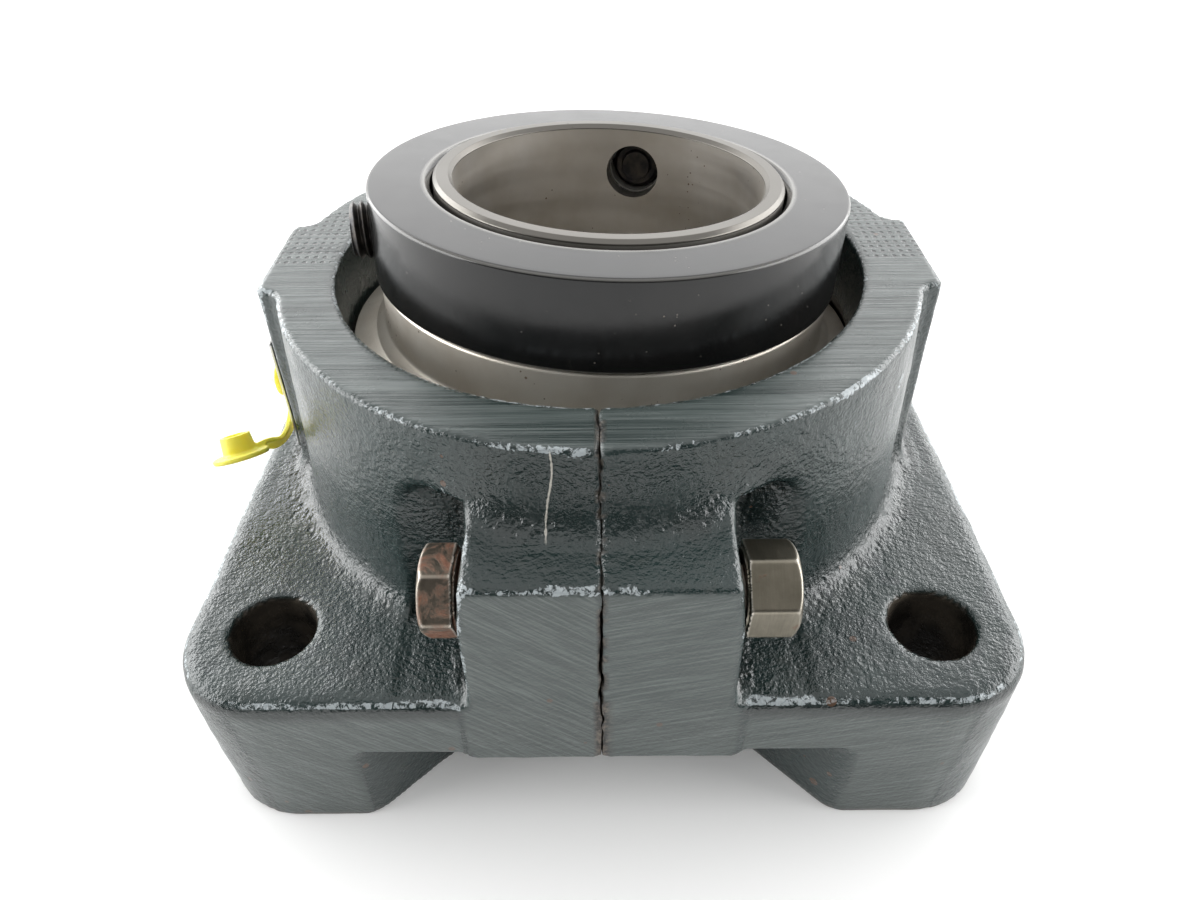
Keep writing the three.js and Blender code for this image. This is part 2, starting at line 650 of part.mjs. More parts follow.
function seal() {
  const outer = SEAL_LAND_RADIUS - GAP;
  const inner = SLEEVE_RADIUS + RUN;
  return turned([
    [inner, SEAL_START + SEAL_THICK - SEAL_LIP],
    [inner + SEAL_LIP, SEAL_START + SEAL_THICK - 2 * SEAL_LIP],
    [outer - SEAL_LIP, SEAL_START + SEAL_THICK - 2 * SEAL_LIP],
    [outer - SEAL_LIP, SEAL_START],
    [outer, SEAL_START],
    [outer, SEAL_START + SEAL_THICK],
    [inner, SEAL_START + SEAL_THICK],
  ], INNER_ROUND);
}

function slinger() {
  const bore = SLEEVE_RADIUS + GAP;
  const outer = SEAL_LAND_RADIUS - 2 * RUN;
  return turned([
    [bore, SLINGER_START],
    [outer, SLINGER_START],
    [outer, SLINGER_START + SLINGER_THICK],
    [bore + SLINGER_THICK, SLINGER_START + SLINGER_THICK],
    [bore + SLINGER_THICK, SLINGER_START + SLINGER_LIP],
    [bore, SLINGER_START + SLINGER_LIP],
  ], INNER_ROUND);
}

// The first roller of the upper row, or with four sides the square window it runs in.
function rollerSolid(extra, endExtra, sides) {
  const half = ROLLER_LENGTH / 2 + endExtra;
  const outside = sides === 4 ? Math.SQRT2 : 1;
  const geometry = new THREE.CylinderGeometry(
    (rollerRadius(half) + extra) * outside,
    (rollerRadius(-half) + extra) * outside,
    2 * half,
    sides,
    1,
    false,
    Math.PI / 4,
  );
  geometry.rotateX(Math.PI / 2);
  geometry.rotateY(RACE_TILT);
  geometry.translate(ROLLER_ORBIT, 0, ROLLER_HEIGHT);
  return solid(geometry);
}

const rollerTurns = Array.from({ length: ROLLERS_PER_ROW }, (_, i) => (360 * i) / ROLLERS_PER_ROW);

function cage() {
  const reach = ROLLER_LENGTH / 2 + ROLLER_END_CLEAR + CAGE_RIM;
  const half = CAGE_WALL / 2;
  const strip = [
    rowPoint(-reach, -half),
    rowPoint(-reach, half),
    rowPoint(reach, half),
    rowPoint(reach, -half),
  ];
  const shell = turned(strip, ROLLERS_PER_ROW, Math.PI / ROLLERS_PER_ROW);
  const window = rollerSolid(CAGE_CLEAR, ROLLER_END_CLEAR, 4);
  return cut(shell, rollerTurns.map((turn) => window.rotate([0, 0, turn])));
}

piece(insert, "outer_ring", outerRing(), finish.ringSteel());
piece(insert, "inner_ring_upper", upperInnerRing(), finish.innerSteel());
const lowerRing = turned(innerRing(-RING_BOTTOM)).mirror([0, 0, 1]);
piece(insert, "inner_ring_lower", lowerRing, finish.innerSteel());
piece(insert, "locking_collar", lockingCollar(), finish.collar());
SCREW_TURNS.forEach((_, i) => {
  piece(insert, "set_screw_" + (i + 1), setScrew(i), finish.screw());
});
[["upper", (made) => made], ["lower", (made) => made.mirror([0, 0, 1])]].forEach(([row, place]) => {
  piece(insert, "seal_" + row, place(seal()), finish.seal());
  piece(insert, "slinger_" + row, place(slinger()), finish.slinger());
  piece(insert, "cage_" + row, place(cage()), finish.cage());
  rollerTurns.forEach((turn, i) => {
    const roller = rollerSolid(0, 0, ROLLER_SIDES).rotate([0, 0, turn]);
    const name = "roller_" + row + "_" + String(i + 1).padStart(2, "0");
    piece(insert, name, place(roller), finish.rollerSteel());
  });
});

// The pin turns with the insert about Y and lets it swing about X.
const pinGroup = new THREE.Group();
pinGroup.position.set(0, 0, SEAT_CENTRE);
pinGroup.rotation.set(0, SWIVEL_ABOUT_Y * DEG, 0);
bearing.add(pinGroup);
const pinInner = SEAT_RADIUS - SEAT_CLEAR - PIN_IN_RING;
piece(pinGroup, "locating_pin", radialRod(PIN_RADIUS, pinInner, PIN_OUTER, 0, 90, 16), finish.slinger());

// ---------------------------------------------------------------- left pad
// A profile of [radius, reach] pairs turned about the fitting's axis, reach measured out
// from the pad's face.
function onPad(profile, sides) {
  return turned(profile, sides).rotate([0, -90, 0]).translate([-PAD_REACH, FITTING_Y, FITTING_Z]);
}

function greaseFitting() {
  const end = FITTING_LENGTH;
  const hexRadius = FITTING_HEX / Math.sqrt(3);
  const hex = onPad([[0, GAP], [hexRadius, GAP], [hexRadius, FITTING_BASE], [0, FITTING_BASE]], 6);
  const body = onPad(
    [
      [0, -FITTING_SHANK_DEPTH],
      [FITTING_SHANK, -FITTING_SHANK_DEPTH],
      [FITTING_SHANK, FITTING_BASE - 1],
      [FITTING_NECK, FITTING_BASE],
      [FITTING_NECK, end - FITTING_HEAD_LENGTH],
      [FITTING_HEAD, end - FITTING_HEAD_LENGTH + FITTING_FLARE],
      [FITTING_HEAD, end - FITTING_NOSE],
      [FITTING_HEAD - FITTING_NOSE_TAPER, end],
      [0, end],
    ],
    16,
  );
  return hex.add(body);
}

// Cap, strap and ring, one soft moulding that hangs from the fitting's neck.
function fittingCap() {
  const ringStart = FITTING_BASE + GAP;
  const ringEnd = ringStart + CAP_RING_THICK;
  const ring = onPad(
    [
      [CAP_RING_INNER, ringStart],
      [CAP_RING_OUTER, ringStart],
      [CAP_RING_OUTER, ringEnd],
      [CAP_RING_INNER, ringEnd],
    ],
    16,
  );
  const disc = [
    [0, 0],
    [CAP_DISC_RADIUS, 0],
    [CAP_DISC_RADIUS, CAP_DISC_THICK],
    [CAP_CUP_RADIUS, CAP_DISC_THICK],
    [CAP_CUP_RADIUS - CAP_CUP_TAPER, CAP_CUP_HEIGHT],
    [CAP_CUP_BORE, CAP_CUP_HEIGHT],
    [CAP_CUP_BORE, CAP_DISC_THICK + CAP_CUP_FLOOR],
    [0, CAP_DISC_THICK + CAP_CUP_FLOOR],
  ];
  const cup = turned(disc, 16).rotate([...CAP_LEAN, 0]).translate(CAP_CENTRE);
  const ringMiddle = -PAD_REACH - (ringStart + ringEnd) / 2;
  const inRing = CAP_RING_OUTER - CAP_RING_BITE;
  const from = (origin, offset) => new THREE.Vector3(...origin.map((value, i) => value + offset[i]));
  const ringCentre = [ringMiddle, FITTING_Y, FITTING_Z];
  const route = new THREE.CatmullRomCurve3([
    from(ringCentre, [0, -inRing, -1]),
    ...STRAP_SAG.map((offset) => from(ringCentre, offset)),
    ...STRAP_LANDING.map((offset) => from(CAP_CENTRE, offset)),
  ]);
  const section = roundedSquare(STRAP_THICK / 2, STRAP_EDGE, STRAP_WIDTH / 2);
  const strap = new THREE.ExtrudeGeometry(section, { steps: 12, extrudePath: route, curveSegments: 1 });
  return joined([ring, cup, solid(strap)]);
}

function namePlate() {
  const inner = -PAD_REACH - GAP;
  const outer = inner - PLATE_THICK;
  const plate = block(outer, inner, -PLATE_HALF_Y, PLATE_HALF_Y, PLATE_BOTTOM, PLATE_TOP);
  const hole = rodX(PLATE_HOLE, outer - OVERCUT, inner + OVERCUT, FITTING_Y, FITTING_Z, 20);
  const screwHolesInPlate = DRIVE_SCREW_Z.map((z) =>
    rodX(DRIVE_SCREW_RADIUS + GAP, outer - OVERCUT, inner + OVERCUT, 0, z, 10),
  );
  return cut(plate, [hole, ...screwHolesInPlate]);
}

function driveScrew(height) {
  const under = 2 * GAP + PLATE_THICK;
  const profile = [
    [0, -DRIVE_SCREW_DEPTH],
    [DRIVE_SCREW_RADIUS, -DRIVE_SCREW_DEPTH],
    [DRIVE_SCREW_RADIUS, under],
    [DRIVE_SCREW_HEAD, under],
    [DRIVE_SCREW_CROWN, under + DRIVE_SCREW_DOME],
    [0, under + DRIVE_SCREW_DOME],
  ];
  return turned(profile, 12).rotate([0, -90, 0]).translate([-PAD_REACH, 0, height]);
}

piece(bearing, "grease_fitting", greaseFitting(), finish.fitting());
piece(bearing, "fitting_cap", fittingCap(), finish.cap());
piece(bearing, "name_plate", namePlate(), finish.plate());
DRIVE_SCREW_Z.forEach((z, i) => {
  piece(bearing, "drive_screw_" + (i + 1), driveScrew(z), finish.slinger());
});

export default bearing;
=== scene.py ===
"""Four-bolt flange bearing: its castings, insert and fastenings in full detail around the frame.

Every size is in millimetres until a mesh is made; meshes are in metres.
"""
import json
import math

import bpy
import numpy as np
from mathutils import Matrix, Vector


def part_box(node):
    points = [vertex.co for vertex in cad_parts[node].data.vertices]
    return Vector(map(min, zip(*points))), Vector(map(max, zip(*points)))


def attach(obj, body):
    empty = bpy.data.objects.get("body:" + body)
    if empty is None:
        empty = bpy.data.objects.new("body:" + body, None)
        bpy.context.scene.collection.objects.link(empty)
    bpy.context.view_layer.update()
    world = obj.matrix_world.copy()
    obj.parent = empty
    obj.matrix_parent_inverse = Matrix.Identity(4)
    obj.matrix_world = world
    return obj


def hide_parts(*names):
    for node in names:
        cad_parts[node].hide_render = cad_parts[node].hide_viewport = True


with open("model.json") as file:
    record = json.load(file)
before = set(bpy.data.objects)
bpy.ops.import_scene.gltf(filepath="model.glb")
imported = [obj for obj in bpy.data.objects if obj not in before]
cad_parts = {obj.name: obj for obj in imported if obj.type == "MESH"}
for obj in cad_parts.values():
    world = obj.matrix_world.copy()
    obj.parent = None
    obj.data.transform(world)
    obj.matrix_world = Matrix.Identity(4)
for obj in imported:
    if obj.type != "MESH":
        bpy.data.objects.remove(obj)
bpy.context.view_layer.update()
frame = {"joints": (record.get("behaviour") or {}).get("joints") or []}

MM = 0.001


def box_mm(node):
    """Lowest and highest corners of a frame node, in millimetres."""
    low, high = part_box(node)
    return np.array(low) / MM, np.array(high) / MM


# ---------------------------------------------------------------- sizes read from the frame
LEFT_LOW, LEFT_HIGH = box_mm("housing_left_half")
RIGHT_LOW, RIGHT_HIGH = box_mm("housing_right_half")
FLANGE_HALF = RIGHT_HIGH[0]
BARREL_TOP = RIGHT_HIGH[2]
JOINTS = {joint["name"]: joint for joint in frame["joints"]}
SEAT_CENTRE = JOINTS["shaft_spin"]["pos_m"][2] / MM
BOLT_LOW, BOLT_HIGH = box_mm("clamp_bolt_front")
NUT_LOW, NUT_HIGH = box_mm("clamp_nut_front")
CLAMP_Y = -(NUT_LOW[1] + NUT_HIGH[1]) / 2
CLAMP_Z = (NUT_LOW[2] + NUT_HIGH[2]) / 2

# ---------------------------------------------------------------- housing sizes
FLANGE_TOP = 52.7
FLANGE_CORNER = 25.0
WEB_UNDER = 31.0
FOOT_INNER = 64.0
BARREL_RADIUS = 91.5
BARREL_FOOT_RADIUS = 94.5
CORE_RADIUS = 91.0
BOLT_PITCH = 173.8
BOLT_HOLE_RADIUS = 11.1
PAD_REACH = 95.0
PAD_HALF = 20.5
SEAT_HALF = 26.0
BORE_MOUTH = 75.8
SEAT_RADIUS = math.hypot(BORE_MOUTH, SEAT_HALF)
BOSS_HALF = 31.3
BOSS_FACE_TOP = 93.4
BOSS_CREST_TOP = 94.6
POCKET_TOP = 99.0
POCKET_REACH = 19.5
CLAMP_RADIUS = 6.35

# ---------------------------------------------------------------- insert sizes, from the seat's centre
SHAFT_RADIUS = 43.66
SLEEVE_RADIUS = 49.0
RING_TOP = 72.1
RING_BOTTOM = 54.0
COLLAR_RADIUS = 66.8
COLLAR_TOP = 70.7
COLLAR_BOTTOM = 46.1
COLLAR_BORE = 49.9
SHOULDER_RADIUS = 65.6
SHOULDER_END = 45.3
SHOULDER_START = 31.0
SEAL_LAND_RADIUS = 62.4
SCREW_HEIGHT = 57.4
SCREW_RADIUS = 7.9
SCREW_LENGTH = 19.5
SCREW_TURNS = (190.0, 78.5)
SCREW_STARTS = (52.4, 49.8)
SCREW_PITCH = 2.31
RACE_TILT = math.radians(11.0)
ROLLER_ORBIT = 54.2
ROLLER_HEIGHT = 14.5
ROLLER_RADIUS = 5.2
ROLLER_LENGTH = 18.0
ROLLERS_PER_ROW = 16
RACE_CLEAR = 0.45


def insert_frame():
    """The swivelled insert's own frame: its axes are those of its two joints."""
    up = Vector(JOINTS["shaft_spin"]["axis"]).normalized()
    across = Vector(JOINTS["swivel_about_x"]["axis"]).normalized()
    along = up.cross(across)
    turn = Matrix((across, along, up)).transposed().to_4x4()
    return Matrix.Translation((0, 0, SEAT_CENTRE)) @ turn


INSERT = insert_frame()


# ================================================================ meshes
def mesh_object(name, points, faces, smooth=True):
    """A mesh object from points in millimetres."""
    mesh = bpy.data.meshes.new(name)
    mesh.from_pydata((np.asarray(points, float) * MM).tolist(), [], faces)
    mesh.validate()
    if smooth:
        mesh.polygons.foreach_set("use_smooth", [True] * len(mesh.polygons))
    obj = bpy.data.objects.new(name, mesh)
    bpy.context.scene.collection.objects.link(obj)
    return obj


def moved(points, matrix):
    """Points carried by a 4 x 4 matrix in millimetres."""
    table = np.array(matrix)
    return np.asarray(points, float) @ table[:3, :3].T + table[:3, 3]


def finished(obj, body, slot, material, *replaced):
    """Gives a piece its finish, and hangs it on the frame."""
    obj.data.materials.clear()
    obj.data.materials.append(material)
    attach(obj, body)
    if replaced:
        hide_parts(*replaced)
    return obj


def drop(obj):
    bpy.data.objects.remove(obj, do_unlink=True)


def evaluated(obj):
    """The object's mesh with its modifiers applied, and no modifier left."""
    depsgraph = bpy.context.evaluated_depsgraph_get()
    mesh = bpy.data.meshes.new_from_object(obj.evaluated_get(depsgraph))
    obj.modifiers.clear()
    obj.data = mesh
    return obj


def cut_by(obj, cutters, operation="DIFFERENCE"):
    """Boolean of obj with each cutter, which is then removed."""
    for cutter in cutters:
        modifier = obj.modifiers.new("cut", "BOOLEAN")
        modifier.operation = operation
        modifier.solver = "EXACT"
        modifier.object = cutter
        evaluated(obj)
        drop(cutter)
    obj.data.polygons.foreach_set("use_smooth", [True] * len(obj.data.polygons))
    return obj


def joined(name, parts):
    """One object made of several, which are removed."""
    points, faces, start = [], [], 0
    for part in parts:
        count = len(part.data.vertices)
        table = np.zeros(count * 3)
        part.data.vertices.foreach_get("co", table)
        points.append(table.reshape(-1, 3) / MM)
        faces += [[start + v for v in face.vertices] for face in part.data.polygons]
        start += count
        drop(part)
    return mesh_object(name, np.concatenate(points), faces)


def eased(profile, steps=5):
    """A profile of (radius, height, ease) points with each eased corner turned into an arc."""
    points = []
    count = len(profile)
    for i, (r, z, ease) in enumerate(profile):
        here = np.array((r, z), float)
        if ease <= 0:
            points.append(tuple(here))
            continue
        before = np.array(profile[i - 1][:2], float) - here
        after = np.array(profile[(i + 1) % count][:2], float) - here
        before /= np.linalg.norm(before)
        after /= np.linalg.norm(after)
        corner = math.acos(float(np.clip(before @ after, -1, 1)))
        reach = ease / math.tan(corner / 2)
        middle = here + (before + after) / np.linalg.norm(before + after) * ease / math.sin(corner / 2)
        first = here + before * reach - middle
        last = here + after * reach - middle
        sweep = math.pi - corner
        for step in range(steps + 1):
            part = step / steps
            weight_first = math.sin((1 - part) * sweep) / math.sin(sweep)
            weight_last = math.sin(part * sweep) / math.sin(sweep)
            points.append(tuple(middle + first * weight_first + last * weight_last))
    return points


def turned(name, profile, steps=160, matrix=None):
    """A closed (radius, height) profile turned about Z. It runs up the outside and down the inside."""
    points, rings = [], []
    angles = np.linspace(0, 2 * math.pi, steps, endpoint=False)
    for r, z in profile:
        if r < 1e-6:
            rings.append([len(points)] * steps)
            points.append((0.0, 0.0, z))
            continue
        rings.append(list(range(len(points), len(points) + steps)))
        points += [(r * math.cos(a), r * math.sin(a), z) for a in angles]
    faces = []
    for lower, upper in zip(rings, rings[1:] + rings[:1]):
        if lower[0] == lower[1] and upper[0] == upper[1]:
            continue
        for i in range(steps):
            k = (i + 1) % steps
            corners = [lower[i], lower[k], upper[k], upper[i]]
            faces.append(list(dict.fromkeys(corners)))
    if matrix is not None:
        points = moved(points, matrix)
    return mesh_object(name, points, faces)


def machined_shading(obj, matrix=None, limit=32.0):
    """Shading normals of a machined piece: exact on what is turned about the matrix's Z axis,
    shared across every edge flatter than the limit, and sharp at the others."""
    mesh = obj.data
    count, loops = len(mesh.polygons), len(mesh.loops)
    points = np.zeros(len(mesh.vertices) * 3)
    mesh.vertices.foreach_get("co", points)
    points = points.reshape(-1, 3)
    normals, centres, areas = np.zeros(count * 3), np.zeros(count * 3), np.zeros(count)
    mesh.polygons.foreach_get("normal", normals)
    mesh.polygons.foreach_get("center", centres)
    mesh.polygons.foreach_get("area", areas)
    normals, centres = normals.reshape(-1, 3), centres.reshape(-1, 3)
    sizes, corner = np.zeros(count, int), np.zeros(loops, int)
    mesh.polygons.foreach_get("loop_total", sizes)
    mesh.loops.foreach_get("vertex_index", corner)
    face = np.repeat(np.arange(count), sizes)
    exact = normals[face].copy()
    if matrix is not None:
        axes = np.array(matrix)[:3, :3]
        origin = np.array(matrix)[:3, 3] * MM
        local_points = (points - origin) @ axes
        local_centres = (centres - origin) @ axes
        local_normals = normals @ axes
        angle = np.arctan2(local_centres[:, 1], local_centres[:, 0])
        out = local_normals[:, 0] * np.cos(angle) + local_normals[:, 1] * np.sin(angle)
        side = local_normals[:, 1] * np.cos(angle) - local_normals[:, 0] * np.sin(angle)
        is_turned = np.abs(side) < 0.06
        at = np.arctan2(local_points[corner, 1], local_points[corner, 0])
        turned_normals = np.stack(
            [out[face] * np.cos(at), out[face] * np.sin(at), local_normals[face, 2]], 1
        )
        use = is_turned[face]
        exact[use] = (turned_normals @ axes.T)[use]
    exact /= np.linalg.norm(exact, axis=1)[:, None] + 1e-12
    order = np.argsort(corner, kind="stable")
    sorted_corner = corner[order]
    starts = np.searchsorted(sorted_corner, sorted_corner)
    place = np.arange(loops) - starts
    most = int(place.max()) + 1
    table = np.zeros((len(points), most, 3))
    weight = np.zeros((len(points), most))
    table[sorted_corner, place] = exact[order]
    weight[sorted_corner, place] = areas[face][order]
    near = np.einsum("vik,vjk->vij", table, table) > math.cos(math.radians(limit))
    blended = np.einsum("vij,vj,vjk->vik", near.astype(float), weight, table)
    result = np.zeros((loops, 3))
    result[order] = blended[sorted_corner, place]
    length = np.linalg.norm(result, axis=1)[:, None]
    result = np.where(length > 1e-12, result / np.maximum(length, 1e-12), exact)
    mesh.normals_split_custom_set(result.tolist())
    return obj


# ================================================================ the cast housing
def noise(points, size, seed):
    """Smooth noise from -1 to 1 over points, with features of the given size."""
    lattice = np.random.default_rng(seed).uniform(-1, 1, (64, 64, 64))
    scaled = points / size
    cell = np.floor(scaled).astype(int)
    part = scaled - cell
    part = part * part * (3 - 2 * part)
    total = np.zeros(len(points))
    for dx in (0, 1):
        for dy in (0, 1):
            for dz in (0, 1):
                weight = np.ones(len(points))
                for axis, d in enumerate((dx, dy, dz)):
                    weight = weight * (part[:, axis] if d else 1 - part[:, axis])
                corner = (cell + (dx, dy, dz)) & 63
                total += weight * lattice[corner[:, 0], corner[:, 1], corner[:, 2]]
    return total


def joined_field(a, b, ease):
    """Distance to either solid, with a fillet where they meet."""
    blend = np.clip(0.5 + 0.5 * (b - a) / ease, 0, 1)
    return b * (1 - blend) + a * blend - ease * blend * (1 - blend)


def shared_field(a, b, ease):
    """Distance to what both solids hold, with its edge rounded."""
    return -joined_field(-a, -b, ease)


def cut_field(a, tool, ease):
    return shared_field(a, -tool, ease)


def prism(x, y, half_x, half_y, corner):
    """Distance to an upright prism of rectangular plan with round corners."""
    qx, qy = np.abs(x) - half_x + corner, np.abs(y) - half_y + corner
    outside = np.hypot(np.maximum(qx, 0), np.maximum(qy, 0))
    return outside + np.minimum(np.maximum(qx, qy), 0) - corner


def between(z, low, high):
    return np.maximum(low - z, z - high)


FLANGE_DRAFT = 0.6
JUNCTION_EASE = 8.0
BOSS_EASE = 5.0
FLANGE_EDGE = 5.5
FOOT_EDGE = 3.0
POCKET_EASE = 4.0
POCKET_ROUND = 12.0
POCKET_WALL = 84.6
POCKET_FADE = 8.2
CREST_MIDDLE = (95.4, 96.0)
CREST_RISE = 2.4
CREST_DRAW = 7.5
FLARE_TOP = 110.0
FLARE_SHY = 0.8
FLARE_HALF = 44.0
FLARE_FADE = 22.0
BOSS_BULGE = 1.7
TOP_EDGE = 0.9


def plate_field(x, y, z):
    """Flange with its four feet and the reliefs between them."""
    half = FLANGE_HALF - FLANGE_DRAFT * (1 - z / FLANGE_TOP)
    plan = prism(x, y, half, half, FLANGE_CORNER)
    plate = shared_field(plan, z - FLANGE_TOP, FLANGE_EDGE)
    for across, out in ((x, -y), (x, y), (y, -x), (y, x)):
        slope = (np.abs(across) - FOOT_INNER + (FLANGE_HALF - out)) / math.sqrt(2)
        side = np.maximum(slope, np.abs(across) - FOOT_INNER)
        relief = shared_field(np.maximum(side, 70 - out), z - WEB_UNDER, FOOT_EDGE)
        plate = cut_field(plate, relief, FOOT_EDGE)
    return plate


def barrel_field(x, y, z, radial):
    slope = (BARREL_FOOT_RADIUS - BARREL_RADIUS) / (BARREL_TOP - FLANGE_TOP)
    drop = np.clip((FLARE_TOP - z) / (FLARE_TOP - CREST_MIDDLE[0]), 0, 1.6)
    flare = (CREST_MIDDLE[1] - BARREL_RADIUS - FLARE_SHY) * drop**2
    near_boss = np.clip((FLARE_HALF - np.abs(x)) / FLARE_FADE, 0, 1)
    near_boss = near_boss * near_boss * (3 - 2 * near_boss) * (np.abs(y) > 40)
    wall = radial - BARREL_RADIUS - slope * np.maximum(BARREL_TOP - z, 0) - flare * near_boss
    barrel = np.maximum(wall, FLANGE_TOP - 12 - z)
    core = np.maximum(radial - CORE_RADIUS, z - FLANGE_TOP)
    return joined_field(barrel, core, 2.0)


def boss_field(x, y, z):
    """The two clamp bosses: a curved crest at the barrel, and a top that falls to the flange's edge."""
    out = np.abs(y)
    aside = np.clip(np.abs(x) / BOSS_HALF, 0, 1.1) ** 2
    crest_out = CREST_MIDDLE[1] - CREST_DRAW * aside
    crest_top = CREST_MIDDLE[0] + CREST_RISE * aside
    fall = (crest_top - BOSS_FACE_TOP) / (FLANGE_HALF - crest_out)
    top = z - crest_top + fall * (out - crest_out)
    half = BOSS_HALF + BOSS_BULGE * np.clip((BOSS_CREST_TOP - z) / 16, 0, 1)
    face = out - FLANGE_HALF + FLANGE_DRAFT * 0.5
    block = shared_field(np.abs(x) - half, top, 2.4)
    block = shared_field(block, face, 2.0)
    return np.maximum(block, np.maximum(WEB_UNDER - z, BORE_MOUTH + 4 - out))


def pocket_field(x, y, z, radial):
    """Room beside each boss for the head or the nut: a quarter-round hollow in the barrel's wall."""
    run = np.abs(x) - BOSS_HALF
    over_x = np.abs(x) - (BOSS_HALF + POCKET_REACH) + POCKET_ROUND
    over_z = z - POCKET_TOP + POCKET_ROUND
    arch = np.hypot(np.maximum(over_x, 0), np.maximum(over_z, 0))
    arch = arch + np.minimum(np.maximum(over_x, over_z), 0) - POCKET_ROUND
    inner = BOSS_HALF + BOSS_BULGE * np.clip((BOSS_CREST_TOP - z) / 16, 0, 1) - np.abs(x)
    wall = POCKET_WALL + POCKET_FADE * np.clip(run / POCKET_REACH, 0, 1.2)
    floor = np.maximum(wall - radial, 60 - np.abs(y))
    return shared_field(np.maximum(np.maximum(arch, inner), FLANGE_TOP - z), floor, POCKET_EASE)


def seat_field(radial, z):
    """The spherical seat and the plain mouths above and below it."""
    ball = np.hypot(radial, z - SEAT_CENTRE) - SEAT_RADIUS
    zone = np.abs(z - SEAT_CENTRE) - SEAT_HALF
    return np.minimum(radial - BORE_MOUTH, np.maximum(ball, zone))


def housing_field(points):
    """Signed distance to the whole casting, negative inside."""
    x, y, z = points[:, 0], points[:, 1], points[:, 2]
    radial = np.hypot(x, y)
    solid = joined_field(plate_field(x, y, z), barrel_field(x, y, z, radial), JUNCTION_EASE)
    solid = joined_field(solid, boss_field(x, y, z), BOSS_EASE)
    pad = shared_field(np.abs(y) - PAD_HALF, np.abs(x) - PAD_REACH - (BARREL_TOP - z) * 0.01, 2.0)
    pad = np.maximum(pad, np.maximum(FLANGE_TOP - 6 - z, BORE_MOUTH + 4 - np.abs(x)))
    solid = joined_field(solid, pad, 5.0)
    solid = cut_field(solid, pocket_field(x, y, z, radial), 1.8)
    solid = shared_field(solid, z - BARREL_TOP, TOP_EDGE)
    solid = cut_field(solid, seat_field(radial, z), 1.2)
    solid = shared_field(solid, -z, 1.0)
    half = BOLT_PITCH / 2
    hole = np.hypot(np.abs(x) - half, np.abs(y) - half) - BOLT_HOLE_RADIUS
    solid = cut_field(solid, hole, 1.6)
    clamp = np.hypot(np.abs(y) - CLAMP_Y, z - CLAMP_Z) - CLAMP_RADIUS - 0.8
    clamp = np.maximum(clamp, np.abs(x) - BOSS_HALF - 4)
    return cut_field(solid, clamp, 0.8)


SPLIT_HALF_GAP = 0.1
SPLIT_ROUGH = 0.45


def half_field(points, side):
    """One half of the casting, broken off along a rough plane; side is -1 left, 1 right."""
    jagged = noise(points, 2.6, 11) * SPLIT_ROUGH + noise(points, 9.0, 12) * 0.35
    opening = SPLIT_HALF_GAP + 0.25 * np.maximum(noise(points, 3.2, 13 + side), 0)
    broken = opening - side * (points[:, 0] - jagged)
    return shared_field(housing_field(points), broken, 0.7)


VOXEL = 1.3
CELL_EDGES = [
    ((0, 0, 0), (1, 0, 0)), ((0, 1, 0), (1, 1, 0)), ((0, 0, 1), (1, 0, 1)), ((0, 1, 1), (1, 1, 1)),
    ((0, 0, 0), (0, 1, 0)), ((1, 0, 0), (1, 1, 0)), ((0, 0, 1), (0, 1, 1)), ((1, 0, 1), (1, 1, 1)),
    ((0, 0, 0), (0, 0, 1)), ((1, 0, 0), (1, 0, 1)), ((0, 1, 0), (0, 1, 1)), ((1, 1, 0), (1, 1, 1)),
]


def skin_of(field, low, high, step):
    """The surface of a distance field as points and quads: one point in each cell it crosses."""
    axes = [np.arange(low[i], high[i] + step, step) for i in range(3)]
    shape = tuple(len(a) for a in axes)
    grid = np.stack(np.meshgrid(*axes, indexing="ij"), -1).reshape(-1, 3)
    values = np.concatenate([field(part) for part in np.array_split(grid, 24)]).reshape(shape)
    values = np.where(values == 0, 1e-6, values)
    cells = tuple(n - 1 for n in shape)

    def corner(offset):
        return values[tuple(slice(o, o + n) for o, n in zip(offset, cells))]

    place, hits = np.zeros(cells + (3,)), np.zeros(cells)
    for a, b in CELL_EDGES:
        va, vb = corner(a), corner(b)
        crossed = (va < 0) != (vb < 0)
        share = np.where(crossed, va / np.where(crossed, va - vb, 1), 0)
        for axis in range(3):
            place[..., axis] += np.where(crossed, a[axis] + share * (b[axis] - a[axis]), 0)
        hits += crossed
    active = hits > 0
    index = np.full(cells, -1)
    index[active] = np.arange(active.sum())
    where = np.argwhere(active)
    origin = np.array([a[0] for a in axes])
    points = origin + step * (where + place[active] / hits[active][:, None])
    faces = []
    for axis in range(3):
        u, v = [i for i in range(3) if i != axis]
        a = np.take(values, range(shape[axis] - 1), axis)
        b = np.take(values, range(1, shape[axis]), axis)
        changed = (a < 0) != (b < 0)
        spots = np.argwhere(changed)
        inner = (spots[:, u] > 0) & (spots[:, v] > 0)
        inner &= (spots[:, u] < shape[u] - 1) & (spots[:, v] < shape[v] - 1)
        spots = spots[inner]
        leaving = (a < 0)[tuple(spots.T)]
        around = []
        for du, dv in ((-1, -1), (0, -1), (0, 0), (-1, 0)):
            cell = spots.copy()
            cell[:, u] += du
            cell[:, v] += dv
            around.append(index[tuple(cell.T)])
        quads = np.stack(around, 1)
        flip = leaving if axis != 1 else ~leaving
        quads[~flip] = quads[~flip][:, ::-1]
        faces.append(quads)
    return points, np.concatenate(faces)


def slope_of(field, points, reach=0.05):
    """Direction in which the field grows fastest."""
    gradient = np.zeros_like(points)
    for axis in range(3):
        step = np.zeros(3)
        step[axis] = reach
        gradient[:, axis] = field(points + step) - field(points - step)
    return gradient / (2 * reach)


